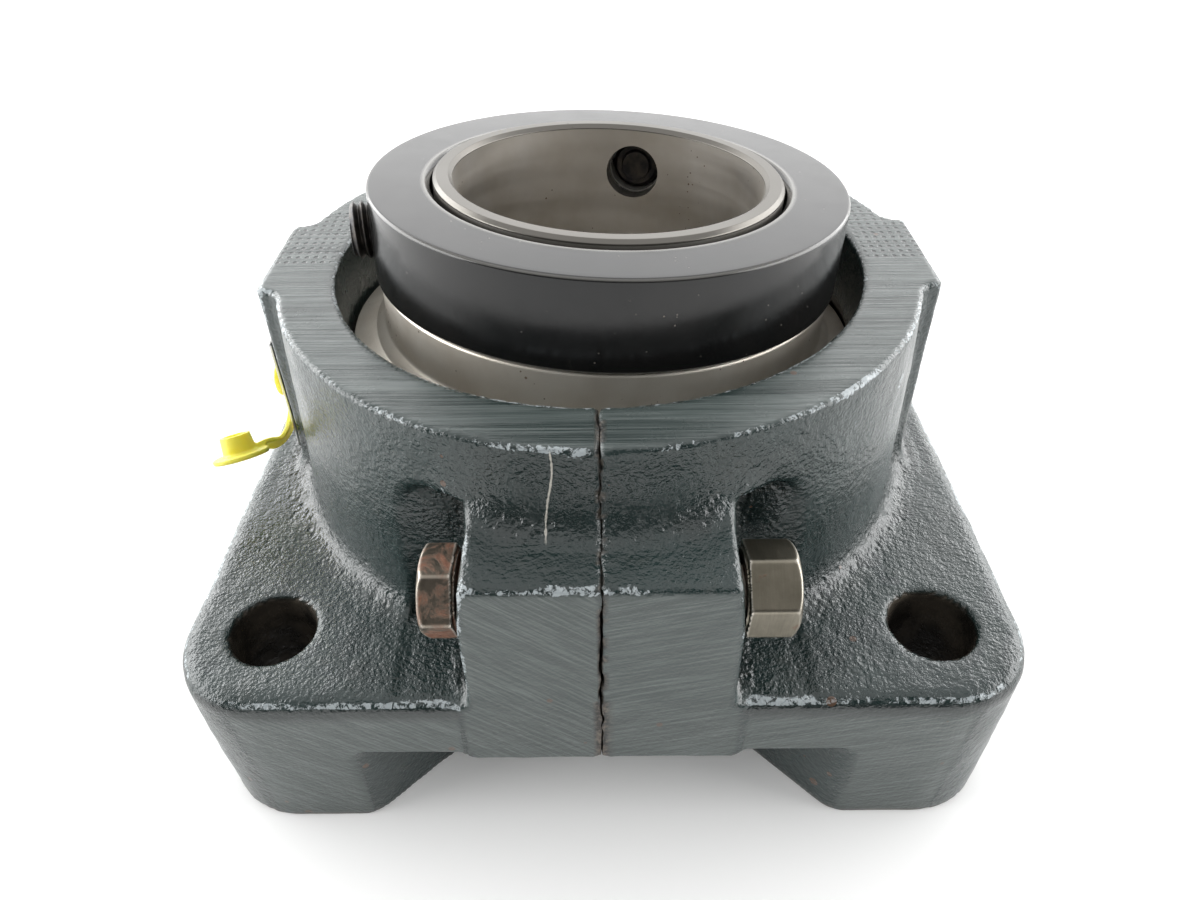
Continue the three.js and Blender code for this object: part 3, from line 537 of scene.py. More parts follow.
def settled(field, points, step, rounds=3):
    """Points drawn onto the field's surface."""
    for _ in range(rounds):
        value, gradient = field(points), slope_of(field, points)
        move = -value[:, None] * gradient / (np.sum(gradient**2, 1)[:, None] + 0.05)
        length = np.linalg.norm(move, axis=1)[:, None]
        points = points + move * np.minimum(1, 0.5 * step / (length + 1e-9))
    return points


def edge_sharpness(field, points, reach):
    """How convex (positive) or hollow (negative) a field's surface is about each point."""
    directions = np.array([(1, 1, 1), (1, -1, -1), (-1, 1, -1), (-1, -1, 1)]) / math.sqrt(3)
    directions = np.concatenate([directions, -directions, np.eye(3), -np.eye(3)])
    mean = sum(field(points + reach * d) for d in directions) / len(directions)
    return mean / reach


def store(mesh, name, values):
    attribute = mesh.attributes.new(name, "FLOAT", "POINT")
    attribute.data.foreach_set("value", np.asarray(values, np.float32))


def housing_half(name, side, material):
    """One half of the casting, with its cast unevenness and its edges marked for paint wear and painted
    highlights.
    """
    margin = 3 * VOXEL
    low = np.array([-FLANGE_HALF - margin, -FLANGE_HALF - margin, -margin])
    high = -low
    high[2] = BARREL_TOP + margin
    if side < 0:
        high[0] = margin
    else:
        low[0] = -margin
    field = lambda points: half_field(points, side)
    points, faces = skin_of(field, low, high, VOXEL)
    points = settled(field, points, VOXEL)
    normals = slope_of(field, points)
    normals /= np.linalg.norm(normals, axis=1)[:, None] + 1e-9
    x, y, z = points.T
    radial = np.hypot(x, y)
    machined = (radial < BORE_MOUTH + 1) | (z > BARREL_TOP - 0.4) | (z < 0.4)
    flange_face = (np.abs(y) > FLANGE_HALF - 1.2) & (np.abs(normals[:, 1]) > 0.9)
    uneven = 0.16 * noise(points, 7.0, 21) + 0.11 * noise(points, 3.4, 22) + 0.35 * noise(points, 34.0, 23)
    amount = np.where(machined, 0.0, np.where(flange_face, 0.35, 1.0))
    points = points + normals * (uneven * amount)[:, None]
    points[:, :2] = np.clip(points[:, :2], -FLANGE_HALF, FLANGE_HALF)
    points[:, 2] = np.clip(points[:, 2], 0, BARREL_TOP)
    obj = mesh_object(name, points, faces.tolist())
    ease = lambda value, start, end: np.clip((value - start) / (end - start), 0, 1)
    steep = np.max(np.abs(normals[:, :2]), axis=1)
    across = np.maximum(np.abs(x), np.abs(y))
    top = ease(z, BARREL_TOP - 0.6, BARREL_TOP - 0.3) * (normals[:, 2] > 0.7)
    dressed = ease(across, FLANGE_HALF - 1.4, FLANGE_HALF - 0.9) * ease(steep, 0.93, 0.98)
    half = BOLT_PITCH / 2
    in_hole = np.hypot(np.abs(x) - half, np.abs(y) - half) < BOLT_HOLE_RADIUS + 0.4
    in_clamp = np.hypot(np.abs(y) - CLAMP_Y, z - CLAMP_Z) < CLAMP_RADIUS + 1.2
    in_clamp = in_clamp & (np.abs(x) < BOSS_HALF - 0.5)
    bare = (radial < SEAT_RADIUS + 0.5) & (z < SEAT_CENTRE + SEAT_HALF + 1) & (normals @ (0, 0, 1) < 0.7)
    bare = bare | in_hole | in_clamp | (z < 0.6)
    by_hole = ease(np.hypot(np.abs(x) - half, np.abs(y) - half), BOLT_HOLE_RADIUS + 1, BOLT_HOLE_RADIUS + 4)
    store(obj.data, "edge", edge_sharpness(housing_field, points, 2.2) * by_hole)
    store(obj.data, "broad_edge", edge_sharpness(housing_field, points, 6.0))
    store(obj.data, "faced", top)
    store(obj.data, "ground", dressed)
    store(obj.data, "bare", bare.astype(float))
    store(obj.data, "split", ease(np.abs(x), 2.2, 1.3) * (housing_field(points) < -0.15))
    return finished(obj, "housing", "housing_paint", material, name)


# ================================================================ sculpted pieces
def section_field(r, z, outline):
    """Signed distance to a solid of revolution from its half section, a closed list of (r, z)."""
    near, inside = np.full(len(r), 1e9), np.zeros(len(r), bool)
    for (r0, z0), (r1, z1) in zip(outline, outline[1:] + outline[:1]):
        crosses = (z0 > z) != (z1 > z)
        if z1 != z0:
            inside ^= crosses & (r < (r1 - r0) * (z - z0) / (z1 - z0) + r0)
        if r0 < 1e-6 and r1 < 1e-6:
            continue
        length = (r1 - r0) ** 2 + (z1 - z0) ** 2
        share = np.clip(((r - r0) * (r1 - r0) + (z - z0) * (z1 - z0)) / length, 0, 1)
        near = np.minimum(near, np.hypot(r - r0 - share * (r1 - r0), z - z0 - share * (z1 - z0)))
    return np.where(inside, -near, near)


def hexagon_field(u, v, across, turn):
    """Distance to a hexagonal prism with one corner at a turn in degrees from u to v."""
    field = None
    for k in range(3):
        angle = math.radians(turn + 30 + 60 * k)
        side = np.abs(u * math.cos(angle) + v * math.sin(angle)) - across / 2
        field = side if field is None else shared_field(field, side, 0.7)
    return field


def thread_field(r, angle, along, radius, pitch):
    """Distance to a threaded rod, flanks at 60 degrees."""
    phase = (along / pitch - angle / (2 * math.pi)) % 1.0
    tooth = np.abs(phase - 0.5) * 2
    depth = np.clip(tooth * 1.25 - 0.12, 0, 1) * pitch * 0.5
    return (r - radius + depth) * 0.7


def sculpted(name, field, low, high, step, matrix=None):
    """A piece from its distance field, with its exact shading normals and its worn edges marked."""
    points, faces = skin_of(field, np.array(low, float), np.array(high, float), step)
    points = settled(field, points, step)
    normals = slope_of(field, points, 0.03)
    normals /= np.linalg.norm(normals, axis=1)[:, None] + 1e-9
    edge = edge_sharpness(field, points, 0.7)
    if matrix is not None:
        points = moved(points, matrix)
        normals = normals @ np.array(matrix)[:3, :3].T
    obj = mesh_object(name, points, faces.tolist())
    store(obj.data, "edge", edge)
    obj.data.normals_split_custom_set_from_vertices(normals.tolist())
    return obj


# ---------------------------------------------------------------- clamp bolts and nuts
HEX_ACROSS = 20.2
HEAD_HEIGHT = 8.7
NUT_HEIGHT = 12.6
HEAD_CORNER = -4.0
NUT_CORNER = 100
BOLT_STUB = 0.2
CLAMP_PITCH = 1.95
CHAMFER_SLOPE = math.radians(30)


def hex_field(u, v, w, height, corner):
    """A hexagon that stands on a washer face at w = 0, its outer corners turned down to a cone."""
    r = np.hypot(u, v)
    body = hexagon_field(u, v, HEX_ACROSS, corner)
    cone = (r - HEX_ACROSS / 2 + 0.45) * math.sin(CHAMFER_SLOPE) + (w - height) * math.cos(CHAMFER_SLOPE)
    body = shared_field(body, cone, 0.5)
    body = shared_field(body, w - height, 0.45)
    washer = np.maximum(r - HEX_ACROSS * 0.475, -w)
    return np.minimum(np.maximum(body, 0.55 - w), np.maximum(washer, w - 1.5))


def clamp_bolt(name, side, material):
    """Hex bolt with its head on the left; side is -1 at the front, 1 at the rear."""
    centre = np.array([0, side * CLAMP_Y, CLAMP_Z])
    under = BOSS_HALF + BOSS_BULGE
    tip = under + NUT_HEIGHT + BOLT_STUB

    def field(points):
        x, u, v = (points - centre).T
        r = np.hypot(u, v)
        dish = 0.35 * np.clip(1 - (r / 7.2) ** 2, 0, 1)
        head = hex_field(u, v, -x - under, HEAD_HEIGHT, HEAD_CORNER)
        head = np.maximum(head, -x - under - HEAD_HEIGHT + dish)
        thread = thread_field(r, np.arctan2(v, u), x, CLAMP_RADIUS, CLAMP_PITCH)
        shank = np.where(x > under - 4, thread, r - CLAMP_RADIUS)
        end = (r - CLAMP_RADIUS + 1.0 + x - tip) / math.sqrt(2)
        shank = np.maximum(shank, np.maximum(np.maximum(x - tip, end), -x - under - 1))
        return joined_field(head, shank, 0.6)

    low = centre + (-under - HEAD_HEIGHT - 2, -14, -14)
    high = centre + (tip + 2, 14, 14)
    obj = sculpted(name, field, low, high, 0.5)
    return finished(obj, "housing", "fastener_steel", material, name)


def clamp_nut(name, side, material):
    centre = np.array([0, side * CLAMP_Y, CLAMP_Z])
    under = BOSS_HALF + BOSS_BULGE
    bore = CLAMP_RADIUS + 0.35

    def field(points):
        x, u, v = (points - centre).T
        r, w = np.hypot(u, v), x - under
        body = hex_field(u, v, w, NUT_HEIGHT, NUT_CORNER)
        sink = (bore + 0.7 - r + np.abs(w - NUT_HEIGHT / 2) - NUT_HEIGHT / 2) / math.sqrt(2)
        return cut_field(body, -np.maximum(bore - r, sink), 0.3)

    low = centre + (under - 2, -14, -14)
    high = centre + (under + NUT_HEIGHT + 2, 14, 14)
    obj = sculpted(name, field, low, high, 0.4)
    return finished(obj, "housing", "fastener_steel", material, name)


# ---------------------------------------------------------------- the insert's rings
SCREW_HOLE = 8.2
SLEEVE_HOLE = 8.5


def spaced(profile, most=1.4):
    """The same closed profile with its long sides divided."""
    points = []
    for (r0, z0), (r1, z1) in zip(profile, profile[1:] + profile[:1]):
        parts = max(1, math.ceil(math.hypot(r1 - r0, z1 - z0) / most))
        points += [(r0 + (r1 - r0) * i / parts, z0 + (z1 - z0) * i / parts) for i in range(parts)]
    return points


def ring(name, profile, body, slot, material, node, steps=192, fine=3.0):
    """A turned ring of the insert from a profile with eased corners."""
    most = fine * 1
    obj = turned(name, spaced(eased(profile), most), steps, INSERT)
    return obj, lambda: finished(machined_shading(obj, INSERT), body, slot, material, node)


def screw_cutters(radius, start, end):
    """Rods through the set screws' places, in the insert's frame."""
    cutters = []
    for turn in SCREW_TURNS:
        aim = INSERT @ Matrix.Rotation(math.radians(turn), 4, "Z") @ Matrix.Translation((0, 0, SCREW_HEIGHT))
        aim = aim @ Matrix.Rotation(math.pi / 2, 4, "Y")
        outline = [(radius, start), (radius, end), (0, end), (0, start)]
        cutters.append(turned("cutter", outline, 64, aim))
    return cutters


def mark_edges(obj, circles, hole=None, reach=0.55):
    """Marks what lies close to the named edge circles (radius, height) and to the screw holes' rims."""
    mesh = obj.data
    table = np.zeros(len(mesh.vertices) * 3)
    mesh.vertices.foreach_get("co", table)
    world = table.reshape(-1, 3) / MM
    axes = np.array(INSERT)[:3, :3]
    local = (world - np.array(INSERT)[:3, 3]) @ axes
    r, z = np.hypot(local[:, 0], local[:, 1]), local[:, 2]
    near = np.min([np.hypot(r - cr, z - cz) for cr, cz in circles], axis=0)
    if hole:
        for turn in SCREW_TURNS:
            angle = math.radians(turn)
            along = local[:, 0] * math.cos(angle) + local[:, 1] * math.sin(angle)
            across = local[:, 1] * math.cos(angle) - local[:, 0] * math.sin(angle)
            rim = np.abs(np.hypot(across, z - SCREW_HEIGHT) - hole)
            near = np.where(along > 0, np.minimum(near, rim), near)
    if "edge" in mesh.attributes:
        mesh.attributes.remove(mesh.attributes["edge"])
    store(mesh, "edge", 0.3 * np.exp(-((near / reach) ** 2)))


def row_point(along, out):
    """(radius, height) in the upper row: so far along a roller's axis, so far out from it."""
    return (
        ROLLER_ORBIT + along * math.sin(RACE_TILT) + out * math.cos(RACE_TILT),
        ROLLER_HEIGHT + along * math.cos(RACE_TILT) - out * math.sin(RACE_TILT),
    )


def roller_radius(along):
    return ROLLER_RADIUS * (1 + along * math.sin(RACE_TILT) / ROLLER_ORBIT)


def race_point(along, side):
    return row_point(along, side * (roller_radius(along) + RACE_CLEAR))


def outer_ring(material):
    """Spherical outside with its grease groove, plain ends, and two tapered races inside."""
    sphere = SEAT_RADIUS - 0.5
    groove = 3.0
    arc = []
    for i in range(25):
        z = groove + (SEAT_HALF - groove) * i / 24
        arc.append((math.sqrt(sphere**2 - z**2), z, 0))
    reach = ROLLER_LENGTH / 2 + 1.5
    small, large = race_point(-reach, 1), race_point(reach, 1)
    land = large[1] + SEAL_LAND_RADIUS - large[0]
    upper_out = arc + [
        (SHOULDER_RADIUS + 3, SHOULDER_START - 2, 1.0),
        (SHOULDER_RADIUS, SHOULDER_START + 1.0, 2.0),
        (SHOULDER_RADIUS, SHOULDER_END, 1.0),
        (SEAL_LAND_RADIUS, SHOULDER_END, 0.5),
        (SEAL_LAND_RADIUS, land, 0.6),
        (*large, 0.6),
        (*small, 0.6),
    ]
    lower_out = [(r, -z, ease) for r, z, ease in reversed(upper_out)]
    floor = [(sphere - 1.4, -groove + 1, 0.5), (sphere - 1.4, groove - 1, 0.5)]
    middle = len(lower_out) - len(arc)
    profile = lower_out[middle:] + floor + upper_out + lower_out[:middle]
    obj, done = ring("outer_ring", profile, "outer_ring", "bearing_steel", material, "outer_ring")
    slot_floor = sphere - 4.4 - 0.7
    slot = prism_block(-4.35, 4.35, slot_floor, sphere + 2, -9, 9)
    aim = INSERT @ Matrix.Rotation(math.pi / 2, 4, "Y")
    way_end = -small[0] + 4
    way = turned("way", [(1.8, -sphere - 2), (1.8, way_end), (0, way_end), (0, -sphere - 2)], 32, aim)
    cut_by(obj, [slot, way])
    return done()


def prism_block(x0, x1, y0, y1, z0, z1):
    """A box in the insert's frame."""
    corners = [(x, y, z) for z in (z0, z1) for y in (y0, y1) for x in (x0, x1)]
    faces = [(0, 2, 3, 1), (4, 5, 7, 6), (0, 1, 5, 4), (2, 6, 7, 3), (0, 4, 6, 2), (1, 3, 7, 5)]
    return mesh_object("block", moved(corners, INSERT), faces, smooth=False)


def inner_ring(name, end, flip, material):
    """Half of the inner ring: race, guiding rib and the sleeve out to its ground end face."""
    reach = ROLLER_LENGTH / 2
    small, large = race_point(-reach - 1.5, -1), race_point(reach + 0.5, -1)
    middle = 0.15
    profile = [
        (SHAFT_RADIUS, middle, 0.4),
        (small[0], middle, 0.5),
        (*small, 0.3),
        (*large, 0.2),
        (53.2 + 0.3, large[1] + 0.2, 0.3),
        (53.2, 28.4, 0.6),
        (SLEEVE_RADIUS, 30.4, 1.2),
        (SLEEVE_RADIUS, end - 1.0, 0.5),
        (SLEEVE_RADIUS - 1.0, end, 0.4),
        (SHAFT_RADIUS + 1.15, end, 0.3),
        (SHAFT_RADIUS, end - 1.15, 0.3),
    ]
    if flip:
        profile = [(r, -z, ease) for r, z, ease in reversed(profile)]
    obj, done = ring(name, profile, "shaft_ring", "bearing_steel", material, name, 224, 2.5)
    if not flip:
        cut_by(obj, screw_cutters(SLEEVE_HOLE, SHAFT_RADIUS - 3, SLEEVE_RADIUS + 3))
    return done()


def locking_collar(material):
    lip = 1.3
    profile = [
        (COLLAR_BORE, COLLAR_BOTTOM, 0.4),
        (COLLAR_RADIUS, COLLAR_BOTTOM, 0.9),
        (COLLAR_RADIUS, COLLAR_TOP, 1.0),
        (COLLAR_BORE + lip, COLLAR_TOP, 0.3),
        (COLLAR_BORE, COLLAR_TOP - lip, 0.3),
    ]
    name = "locking_collar"
    obj, done = ring(name, profile, "shaft_ring", "black_oxide", material, name, 224, 1.5)
    cut_by(obj, screw_cutters(SCREW_HOLE, COLLAR_BORE - 4, COLLAR_RADIUS + 4))
    corners = [(COLLAR_RADIUS, COLLAR_TOP), (COLLAR_BORE + lip, COLLAR_TOP), (COLLAR_RADIUS, COLLAR_BOTTOM)]
    mark_edges(obj, corners, SCREW_HOLE)
    return done()


def seals_and_slingers(rubber, steel):
    """Lipped seals in the outer ring's ends, and a slinger outboard of each."""
    inner, outer = SLEEVE_RADIUS + 0.5, SEAL_LAND_RADIUS - 0.3
    seal = [
        (outer, 34.0, 0.4), (outer, 41.0, 0.5), (inner + 1.6, 41.0, 0.5), (inner, 39.6, 0.25),
        (inner + 0.6, 38.6, 0.25), (inner + 2.2, 37.6, 0.5),
        (outer - 2.0, 37.0, 0.8), (outer - 2.0, 34.0, 0.3),
    ]
    bore, rim = SLEEVE_RADIUS + 0.3, SEAL_LAND_RADIUS - 1.0
    slinger = [
        (bore, 42.0, 0.2), (rim, 42.0, 0.3), (rim, 44.0, 0.3), (bore + 2.0, 44.0, 0.9),
        (bore + 2.0, 46.0, 0.4), (bore, 46.0, 0.3),
    ]
    for row, sign in (("upper", 1), ("lower", -1)):
        for kind, profile, body, slot, material in (
            ("seal_", seal, "outer_ring", "seal_rubber", rubber),
            ("slinger_", slinger, "shaft_ring", "bearing_steel", steel),
        ):
            shape = profile if sign > 0 else [(r, -z, ease) for r, z, ease in reversed(profile)]
            ring(kind + row, shape, body, slot, material, kind + row, 128, 4.0)[1]()


def set_screw(index, material):
    """Threaded set screw with a hex socket and a reduced point, aimed at the shaft."""
    name = f"set_screw_{index + 1}"
    aim = INSERT @ Matrix.Rotation(math.radians(SCREW_TURNS[index]), 4, "Z")
    aim = aim @ Matrix.Translation((0, 0, SCREW_HEIGHT)) @ Matrix.Rotation(math.pi / 2, 4, "Y")
    aim = aim @ Matrix.Translation((0, 0, SCREW_STARTS[index]))
    point = SCREW_RADIUS * 0.6

    def field(points):
        u, v, w = points.T
        r = np.hypot(u, v)
        body = thread_field(r, np.arctan2(v, u), w, SCREW_RADIUS, SCREW_PITCH)
        body = np.maximum(body, (r - SCREW_RADIUS + 1.1 + w - SCREW_LENGTH) / math.sqrt(2))
        body = np.maximum(body, (r - SCREW_RADIUS + 1.3 + 2.0 - w) / math.sqrt(2))
        body = np.maximum(body, 2.0 - w)
        tip = shared_field(np.maximum(r - point, w - 4), -w, 0.6)
        body = shared_field(np.minimum(body, tip), w - SCREW_LENGTH, 0.3)
        socket = np.maximum(hexagon_field(u, v, 8.0, 30), SCREW_LENGTH - 8.0 - w)
        sink = (r - 4.7 + SCREW_LENGTH - w) / math.sqrt(2)
        return cut_field(body, np.minimum(socket, sink), 0.3)

    obj = sculpted(name, field, (-10, -10, -1.5), (10, 10, SCREW_LENGTH + 1.5), 0.36, aim)
    return finished(obj, name, "black_oxide", material, name)


# ---------------------------------------------------------------- left pad
FITTING_Z = 74.5
FITTING_BASE = 3.0
CAP_CENTRE = np.array([-105.4, -38.5, 71.5])
CAP_LEAN = (-26, -15)
CAP_DISC = 8.0
RING_MIDDLE = -PAD_REACH - FITTING_BASE - 0.3 - 1.0
STRAP_ROUTE = [
    (RING_MIDDLE, -5.7, 73.5),
    (RING_MIDDLE + 0.3, -11.0, 68.1),
    (RING_MIDDLE + 0.1, -17.0, 65.3),
    (RING_MIDDLE - 0.9, -24.0, 65.9),
    tuple(CAP_CENTRE + (3.6, 7.0, -0.2)),
    tuple(CAP_CENTRE + (0.4, 2.0, 0.75)),
]


def along_pad(points, height):
    """(radius, reach) about an axis that points out of the left pad at a height."""
    return np.hypot(points[:, 1], points[:, 2] - height), -PAD_REACH - points[:, 0]


def grease_fitting(material):
    """Zinc-plated nipple: hex, waist and the head a grease gun grips, with its ball."""
    outline = [
        (0, -11), (3.6, -11), (4, -10.4), (4, 2), (3.3, 3.2), (2.5, 3.8), (2.5, 7.2),
        (3.4, 8.4), (3.4, 10.2), (2.2, 12.4), (1.5, 13.2), (0, 13.2),
    ]

    def field(points):
        r, w = along_pad(points, FITTING_Z)
        body = section_field(r, w, outline)
        hexed = hexagon_field(points[:, 1], points[:, 2] - FITTING_Z, 11.0, 0)
        cone = (r - 5.6) * 0.5 + (w - FITTING_BASE) * 0.87
        hexed = shared_field(np.maximum(hexed, 0.3 - w), np.maximum(cone, w - FITTING_BASE), 0.3)
        body = joined_field(body, hexed, 0.6)
        way = np.maximum(r - 0.9, 11.5 - w)
        ball = np.sqrt(r**2 + (w - 12.3) ** 2) - 0.85
        return np.minimum(cut_field(body, way, 0.2), ball)

    low = (-PAD_REACH - 15, -8, FITTING_Z - 8)
    obj = sculpted("grease_fitting", field, low, (-PAD_REACH + 13, 8, FITTING_Z + 8), 0.34)
    return finished(obj, "housing", "plated_fitting", material, "grease_fitting")


def smooth_route(stops, steps=9):
    """A smooth curve through the stops."""
    stops = [2 * np.array(stops[0]) - stops[1], *map(np.array, stops), 2 * np.array(stops[-1]) - stops[-2]]
    route = []
    for a, b, c, d in zip(stops, stops[1:], stops[2:], stops[3:]):
        for t in np.linspace(0, 1, steps, endpoint=False):
            route.append(
                b + 0.5 * t * (c - a + t * (2 * a - 5 * b + 4 * c - d + t * (3 * b - a - 3 * c + d)))
            )
    return np.array(route + [stops[-2]])


def fitting_cap(material):
    """Cup with a brim, the strap that holds it and the ring round the nipple, moulded in one."""
    about_x, about_y = map(math.radians, CAP_LEAN)
    lean = np.array(Matrix.Rotation(about_y, 3, "Y") @ Matrix.Rotation(about_x, 3, "X"))
    cup = [
        (0, 0), (CAP_DISC - 0.3, 0), (CAP_DISC, 0.4), (CAP_DISC - 0.1, 1.2), (CAP_DISC - 0.8, 1.5),
        (5.3, 1.5), (4.7, 2.1), (4.2, 7.0), (3.2, 7.0), (3.2, 2.1), (0, 2.1),
    ]
    route = smooth_route(STRAP_ROUTE)
    outward = np.array([-1.0, 0.0, 0.0])

    def field(points):
        local = (points - CAP_CENTRE) @ lean
        body = section_field(np.hypot(local[:, 0], local[:, 1]), local[:, 2], cup) - 0.05
        strap = np.full(len(points), 1e9)
        for start, end in zip(route, route[1:]):
            along = end - start
            length = np.linalg.norm(along)
            along = along / length
            near_cap = np.clip(1 - np.linalg.norm((start + end) / 2 - CAP_CENTRE) / 26, 0, 1)
            thin = outward * (1 - near_cap) + lean[:, 2] * min(1, 1.6 * near_cap)
            thick = thin - along * (thin @ along)
            thick /= np.linalg.norm(thick)
            wide = np.cross(along, thick)
            offset = points - (start + end) / 2
            q = np.abs(np.stack([offset @ along, offset @ thick, offset @ wide], 1))
            q -= (length / 2 - 0.2, 0.72 - 0.4, 2.3 - 0.4)
            box = np.linalg.norm(np.maximum(q, 0), axis=1) + np.minimum(q.max(1), 0) - 0.4
            strap = joined_field(strap, box, 0.12)
        body = joined_field(body, strap, 1.0)
        r, w = along_pad(points, FITTING_Z)
        loop = np.hypot(np.maximum(np.abs(r - 5.1) - 0.9, 0), np.maximum(np.abs(w - 6.4) - 2.2, 0)) - 0.6
        return joined_field(body, loop, 0.8)

    obj = sculpted("fitting_cap", field, (-117, -50, 58), (-95.5, 10, 84), 0.42)
    return finished(obj, "cap", "yellow_cap", material, "fitting_cap")


def name_plate(material):
    """Blank thin plate, sprung a little off the pad along its front edge."""

    def field(points):
        x, y, z = points.T
        lift = 1.25 * np.clip((-y - 5.0) / 12.5, 0, 1) ** 2
        w = -PAD_REACH - 0.3 - lift - x
        plan = prism(y, z - 78.0, 17.5, 20.0, 1.6)
        body = shared_field(np.maximum(plan, -w), w - 0.8, 0.15)
        body = np.maximum(body, 8.0 - np.hypot(y, z - FITTING_Z))
        for height in (62.2, 93.8):
            body = np.maximum(body, 1.8 - np.hypot(y, z - height))
        return body

    obj = sculpted("name_plate", field, (-98.6, -19.5, 56.4), (-94.2, 19.5, 99.6), 0.36)
    return finished(obj, "housing", "plate_metal", material, "name_plate")


def small_round_pieces(plated, steel):
    """Drive screws that hold the plate, and the pin that stops the outer ring from turning."""
    for i, height in enumerate((62.2, 93.8)):
        aim = Matrix.Translation((-PAD_REACH, 0, height)) @ Matrix.Rotation(-math.pi / 2, 4, "Y")
        profile = [(1.5, -6.0, 0.3), (1.5, 1.4, 0), (2.6, 1.4, 0.15), (2.55, 1.8, 0.3), (1.5, 2.5, 0.6)]
        profile = spaced(eased(profile + [(0, 2.62, 0), (0, -6.0, 0)]), 0.7)
        screw = turned(f"drive_screw_{i + 1}", profile, 40, aim)
        finished(machined_shading(screw, aim), "housing", "plate_metal", plated, f"drive_screw_{i + 1}")
    aim = Matrix.Translation((0, 0, SEAT_CENTRE)) @ Matrix.Rotation(-math.pi / 2, 4, "X")
    inner = SEAT_RADIUS - 4.9
    profile = [(4.0, inner, 0.5), (4.0, 87.0, 0.5), (0, 87.0, 0), (0, inner, 0)]
    pin = turned("locating_pin", spaced(eased(profile), 2.0), 48, aim)
    finished(machined_shading(pin, aim), "pin", "bearing_steel", steel, "locating_pin")


# ================================================================ rollers and cages, by Geometry Nodes
class Recipe:
    """A Geometry Nodes tree with named inputs, ending in plain mesh with one material."""

    def __init__(self, name, inputs):
        self.tree = bpy.data.node_groups.new(name, "GeometryNodeTree")
        make = self.tree.interface.new_socket
        make("Geometry", in_out="OUTPUT", socket_type="NodeSocketGeometry")
        make("Geometry", in_out="INPUT", socket_type="NodeSocketGeometry")
        self.keys = {}
        for key, kind in inputs.items():
            self.keys[key] = make(key, in_out="INPUT", socket_type=kind).identifier
        self.start = self.tree.nodes.new("NodeGroupInput")

    def add(self, kind, links=None, **settings):
        made = self.tree.nodes.new(kind)
        for key, value in settings.items():
            setattr(made, key, value)
        for key, value in (links or {}).items():
            socket = made.inputs[key]
            if isinstance(value, bpy.types.NodeSocket):
                self.tree.links.new(value, socket)
            else:
                socket.default_value = value
        return made.outputs

    def math(self, operation, a, b):
        return self.add("ShaderNodeMath", {0: a, 1: b}, operation=operation)[0]

    def close(self, geometry):
        whole = self.add("GeometryNodeRealizeInstances", {"Geometry": geometry})[0]
        material = self.start.outputs["Material"]
        shaded = self.add("GeometryNodeSetMaterial", {"Geometry": whole, "Material": material})[0]
        end = self.tree.nodes.new("NodeGroupOutput")
        self.tree.links.new(shaded, end.inputs[0])

    def grow(self, name, source, **values):
        """A plain mesh object grown from the source's mesh with these inputs."""
        obj = bpy.data.objects.new(name, source.data)
        bpy.context.scene.collection.objects.link(obj)
        modifier = obj.modifiers.new("grow", "NODES")
        modifier.node_group = self.tree
        for key, value in values.items():
            modifier[self.keys[key.replace("_", " ")]] = value
        return evaluated(obj)


def circle_recipe():
    """Sets the source mesh on its slope beside the axis, and repeats it round the axis."""
    recipe = Recipe(
        "round_the_axis",
        {
            "Count": "NodeSocketInt", "First": "NodeSocketInt", "Last": "NodeSocketInt",
            "Offset": "NodeSocketFloat", "Orbit": "NodeSocketFloat", "Height": "NodeSocketFloat",
            "Tilt": "NodeSocketFloat", "Material": "NodeSocketMaterial",
        },
    )
    given = recipe.start.outputs
    turn = recipe.add("ShaderNodeCombineXYZ", {"Y": given["Tilt"]})[0]
    place = recipe.add("ShaderNodeCombineXYZ", {"X": given["Orbit"], "Z": given["Height"]})[0]
    leaning = recipe.add(
        "GeometryNodeTransform", {"Geometry": given["Geometry"], "Translation": place, "Rotation": turn}
    )[0]
    points = recipe.add("GeometryNodePoints", {"Count": given["Count"]})[0]
    index = recipe.add("GeometryNodeInputIndex")[0]
    compare = lambda key, test: recipe.add(
        "FunctionNodeCompare", {2: index, 3: given[key]}, data_type="INT", operation=test
    )[0]
    after = compare("First", "GREATER_EQUAL")
    before = compare("Last", "LESS_EQUAL")
    chosen = recipe.add("FunctionNodeBooleanMath", {0: after, 1: before}, operation="AND")[0]
    step = recipe.math("DIVIDE", 2 * math.pi, given["Count"])
    angle = recipe.math("MULTIPLY", recipe.math("ADD", index, given["Offset"]), step)
    facing = recipe.add("ShaderNodeCombineXYZ", {"Z": angle})[0]
    copies = recipe.add(
        "GeometryNodeInstanceOnPoints",
        {"Points": points, "Selection": chosen, "Instance": leaning, "Rotation": facing},
    )[0]
    recipe.close(copies)
    return recipe


def roller_source():
    """One tapered roller along Z, crowned at its corners, its large end up."""
    half = ROLLER_LENGTH / 2
    large, small = roller_radius(half), roller_radius(-half)
    profile = [(small, -half, 0.7), (large, half, 0.7)]
    profile += [(2.0, half, 0.3), (1.6, half - 0.5, 0.2), (0, half - 0.5, 0)]
    profile += [(0, 0.5 - half, 0), (1.6, 0.5 - half, 0.2), (2.0, -half, 0.3)]
    return turned("roller_source", spaced(eased(profile), 3.0), 48)


